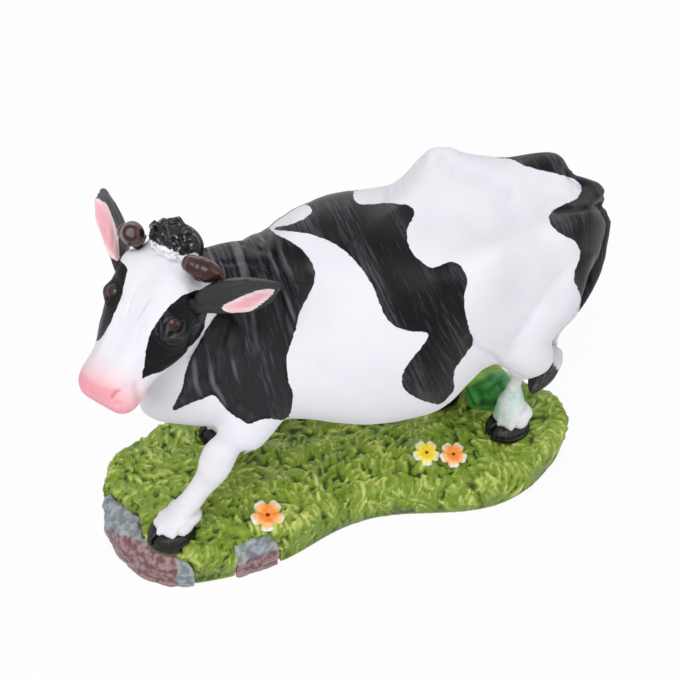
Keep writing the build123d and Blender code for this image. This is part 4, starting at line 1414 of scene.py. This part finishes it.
def makeGrass():
    bm = makeGround()
    points, normals = netOf(bm)
    rng = np.random.default_rng(23)
    # carved blades: each lifts the skin from its foot to its tip, and the highest one shows
    lift = np.zeros(len(points))
    tone = np.full(len(points), 0.02)
    canGrow = (points[:, 2] > 0.5) & (normals[:, 2] > -0.3)
    later = rng.permutation(len(points))
    feet = [index for index in rng.permutation(len(points)) if canGrow[index]][:grass["blades"][0]]
    fillers = (index for index in later if canGrow[index] and lift[index] == 0)
    for index in itertools.chain(feet, itertools.islice(fillers, grass["blades"][1])):
        base, normal = points[index], normals[index]
        steep = unit(1.0 - normal[2])
        # blades stand up along the sides, and wander on top
        wander = 3.4 * noise.noise(Vector(base / 13.0)) + 0.9 * noise.noise(Vector(base / 4.0))
        outward = math.atan2(1.8 * base[1], 0.5 * (base[0] - 4))
        heading = outward + math.pi + wander * (1 - 0.75 * steep) + rng.normal(0, 0.28)
        flow = np.array([math.cos(heading), math.sin(heading), 1.5 * steep])
        flow -= normal * (flow @ normal)
        flow /= max(np.linalg.norm(flow), 1e-6)
        side = np.cross(normal, flow)
        long = rng.uniform(*grass["length"]) * (1 + 0.6 * steep)
        half = rng.uniform(*grass["width"]) / 2
        high = rng.uniform(*grass["height"])
        bend = rng.normal(0, 0.055)
        shade = rng.normal(0, 0.10)
        around = np.flatnonzero(np.abs(points - base).max(axis=1) < long * 1.1)
        away = points[around] - base
        along = (away @ flow) / long
        across = (away @ side) - bend * (along * long) ** 2
        inside = (along > 0) & (along < 1) & (np.abs(away @ normal) < 2.5)
        around, along, across = around[inside], along[inside], across[inside]
        leaf = half * np.clip(np.sin(math.pi * unit(along) ** 0.75), 0.02, 1) ** 0.6
        share = np.abs(across) / leaf
        inside = share < 1
        around, along, share = around[inside], along[inside], share[inside]
        rise = high * (0.15 + 0.85 * along ** 0.8) * (1 - 0.55 * share ** 2)
        rise *= unit((1.02 - along) / 0.10)
        wins = rise > lift[around]
        lift[around[wins]] = rise[wins]
        glow = 0.20 + 0.60 * along ** 0.8 * (1 - 0.85 * share ** 2) + shade
        tone[around[wins]] = glow[wins]
    solid = unit((points[:, 2] - 0.6) / 1.6)
    pushOut(bm, points, normals, lift * solid, 0.3)
    low = pointsOf(bm)
    low[:, 2] = np.where(points[:, 2] < 0.5, points[:, 2], np.maximum(low[:, 2], 0.3))
    putPoints(bm, low)
    relief = np.clip(reliefOf(bm, 5, 0.30), -1.5, 1.5)
    lip = unit((1.7 - points[:, 2]) / 0.8)      # paler round the foot of the base
    tone = np.maximum(tone, 0.62 * lip)
    piece = newPiece("grassMound", bm, grassMaterial, ["base_mound"], "grass",
                     tone=np.clip(tone + 0.14 * relief, -0.3, 1.3))
    print("grass:", len(feet), "blades,", len(piece.data.polygons), "faces")


makeGrass()


# ---- flowers

petalLook = {
    "petals": 5,
    "height": 14.6,
    "turn": -32,             # degrees
    "tilt": 24,              # degrees towards the near side
    "white": (0.86, 0.83, 0.80),
    "orange": (0.93, 0.26, 0.025),
    "orangePale": (0.93, 0.52, 0.20),
    "yellow": (0.90, 0.62, 0.02),
    "yellowPale": (0.92, 0.80, 0.16),
    "dot": (0.055, 0.018, 0.008),
}


def makePetalMaterial(heart):
    paint = Paint(heart + "Petal", 200.0, 0.45, 0.1, 0.3, 0.35)
    ring = paint.attribute("fromHeart") + (paint.place.noise(1100.0, 3.0, 0.6) - 0.5) * 0.55
    colour = ring.step(0.40, 0.68).mix(petalLook[heart], petalLook[heart + "Pale"])
    colour = ring.step(0.70, 0.92).mix(colour, petalLook["white"])
    colour = paint.attribute("dot").step(0.4, 0.6).mix(colour, petalLook["dot"])
    return paint.done(colour, 0.38 + paint.cast["Mottle"] * 0.2, paint.cast["Height"], 0.5, 0.3)


petalMaterials = {heart: makePetalMaterial(heart) for heart in ("orange", "yellow")}


def makeFlower(node):
    pieceName, x, y, radius, heart = flowers[node]
    bm = bmesh.new()
    segments = petalLook["petals"] * 16
    bmesh.ops.create_circle(bm, segments=segments, radius=1)
    ring = bm.edges[:]
    for share in (0.93, 0.82, 0.68, 0.54, 0.40, 0.27, 0.15):
        out = bmesh.ops.extrude_edge_only(bm, edges=ring)["geom"]
        verts = [g for g in out if isinstance(g, bmesh.types.BMVert)]
        for vert in verts:
            vert.co = vert.co.normalized() * share
        edges = [g for g in out if isinstance(g, bmesh.types.BMEdge)]
        ring = [e for e in edges if e.is_boundary and all(v in verts for v in e.verts)]
    bmesh.ops.contextual_create(bm, geom=ring)
    flat = np.array([v.co for v in bm.verts])
    share = np.linalg.norm(flat, axis=1)
    turned = np.arctan2(flat[:, 1], flat[:, 0])
    # 1 on the middle of a petal, 0 between two
    lobe = np.abs(((turned * petalLook["petals"] / (2 * math.pi)) % 1) - 0.5) * 2
    reach = 0.70 + 0.30 * unit(lobe * 1.9) ** 0.8 - 0.03 * lobe ** 6
    reach = 1 - (1 - reach) * share ** 1.5
    lift = 0.10 * share - 0.16 * (1 - unit(lobe * 2.2)) * share ** 2 - 0.16 * share ** 3
    lift = lift + 0.10 * np.sin(share * math.pi)
    rng = np.random.default_rng(len(node))
    wave = 0.05 * np.sin(turned * 5 + rng.uniform(0, 6)) * share
    shaped = np.stack([flat[:, 0] * reach, flat[:, 1] * reach, lift + wave], axis=-1) * radius
    putPoints(bm, shaped)
    bmesh.ops.recalc_face_normals(bm, faces=bm.faces)
    if bm.faces[0].normal.z < 0:
        bmesh.ops.reverse_faces(bm, faces=bm.faces)
    bmesh.ops.solidify(bm, geom=bm.faces[:], thickness=0.7 * mm)
    bead = bmesh.ops.create_uvsphere(bm, u_segments=16, v_segments=8,
                                     radius=0.13 * radius * mm)["verts"]
    bmesh.ops.translate(bm, verts=bead, vec=(0, 0, 0.03 * radius * mm))
    beads = set(bead)
    dots = np.array([1.0 if v in beads else 0.0 for v in bm.verts])
    fromHeart = np.hypot(*(pointsOf(bm)[:, :2].T)) / radius
    stem = bmesh.ops.create_cone(bm, segments=14, cap_ends=True, radius1=0.8 * mm,
                                 radius2=1.1 * mm, depth=3.6 * mm)["verts"]
    bmesh.ops.translate(bm, verts=stem, vec=(0, 0, -2.2 * mm))
    onStem = np.zeros(len(bm.verts) - len(dots))
    pose = (Matrix.Translation(Vector((x, y, petalLook["height"])) * mm)
            @ Matrix.Rotation(math.radians(petalLook["tilt"]), 4, "X")
            @ Matrix.Rotation(math.radians(petalLook["turn"]), 4, "Z"))
    bmesh.ops.transform(bm, matrix=pose, verts=bm.verts)
    bmesh.ops.recalc_face_normals(bm, faces=bm.faces)
    newPiece(pieceName, bm, petalMaterials[heart], [node], "petal_" + heart,
             dot=np.append(dots, onStem), fromHeart=np.append(fromHeart, onStem))


for node in flowers:
    makeFlower(node)


# ---- leaf clump that props the belly

leafClump = {
    "voxel": 0.6,
    "deep": (0.030, 0.200, 0.045),
    "green": (0.090, 0.42, 0.100),
    "edge": (0.34, 0.52, 0.08),
}


def makeLeafMaterial():
    paint = Paint("paintedLeaf", 150.0, 0.34, 0.3, 0.2, 0.4)
    lift = paint.attribute("relief") + paint.attribute("rim")
    lift = lift + (paint.place.noise(300.0, 4.0, 0.65) - 0.5) * 3.4
    colour = lift.step(-0.8, 0.6).mix(leafClump["deep"], leafClump["green"])
    colour = (lift.step(0.7, 1.5) * 0.8).mix(colour, leafClump["edge"])
    return paint.done(colour, 0.3 + paint.cast["Mottle"] * 0.2, paint.cast["Height"], 0.5, 0.4)


def makeLeafClump():
    bm = castCopy("leaf_clump", leafClump["voxel"], 2)
    points, normals = netOf(bm)
    middle = points.mean(axis=0)
    turned = np.arctan2(points[:, 1] - middle[1], points[:, 0] - middle[0])
    folds = softNoise(turned * 1.3 + 20 + points[:, 2] * 0.06, points[:, 2] / 9)
    push = (np.abs(folds * 2 - 1) - 0.2) * 1.9 + 0.9 * lumpy(points, 4.0, 6.0)
    push *= np.clip((points[:, 2] - 12) / 2, 0.3, 1)
    pushOut(bm, points, normals, push, 0.4)
    relief = np.clip(reliefOf(bm, 8, 0.3), -1.5, 1.5)
    edgeLine = [(462, 388), (474, 377), (486, 368), (500, 368), (513, 376)]
    newPiece("leafClump", bm, makeLeafMaterial(), ["leaf_clump"], "leaf", relief=relief,
             rim=1.9 * bump(toPolyline(inPhoto(points), edgeLine), 6) - 0.2)


makeLeafClump()
print("base, flowers and leaf clump done")


# ---- floor

floorMaterial, floorTree, floorShader = newMaterial("paleFloor", 0.9)
floorShader.inputs["Base Color"].default_value = (0.86, 0.86, 0.86, 1)
floorGlow = makeNode(floorTree, "Emission", {"Color": (1, 1, 1, 1)})
whiteWhenSeen(floorTree, floorShader, floorGlow, 0.94, floorTree.nodes["Material Output"])
floorBm = bmesh.new()
bmesh.ops.create_circle(floorBm, cap_ends=True, segments=96, radius=2.2)
floorMesh = bpy.data.meshes.new("floor")
floorBm.to_mesh(floorMesh)
floorBm.free()
floorMesh.materials.append(floorMaterial)
floor = bpy.data.objects.new("floor", floorMesh)
bpy.context.scene.collection.objects.link(floor)
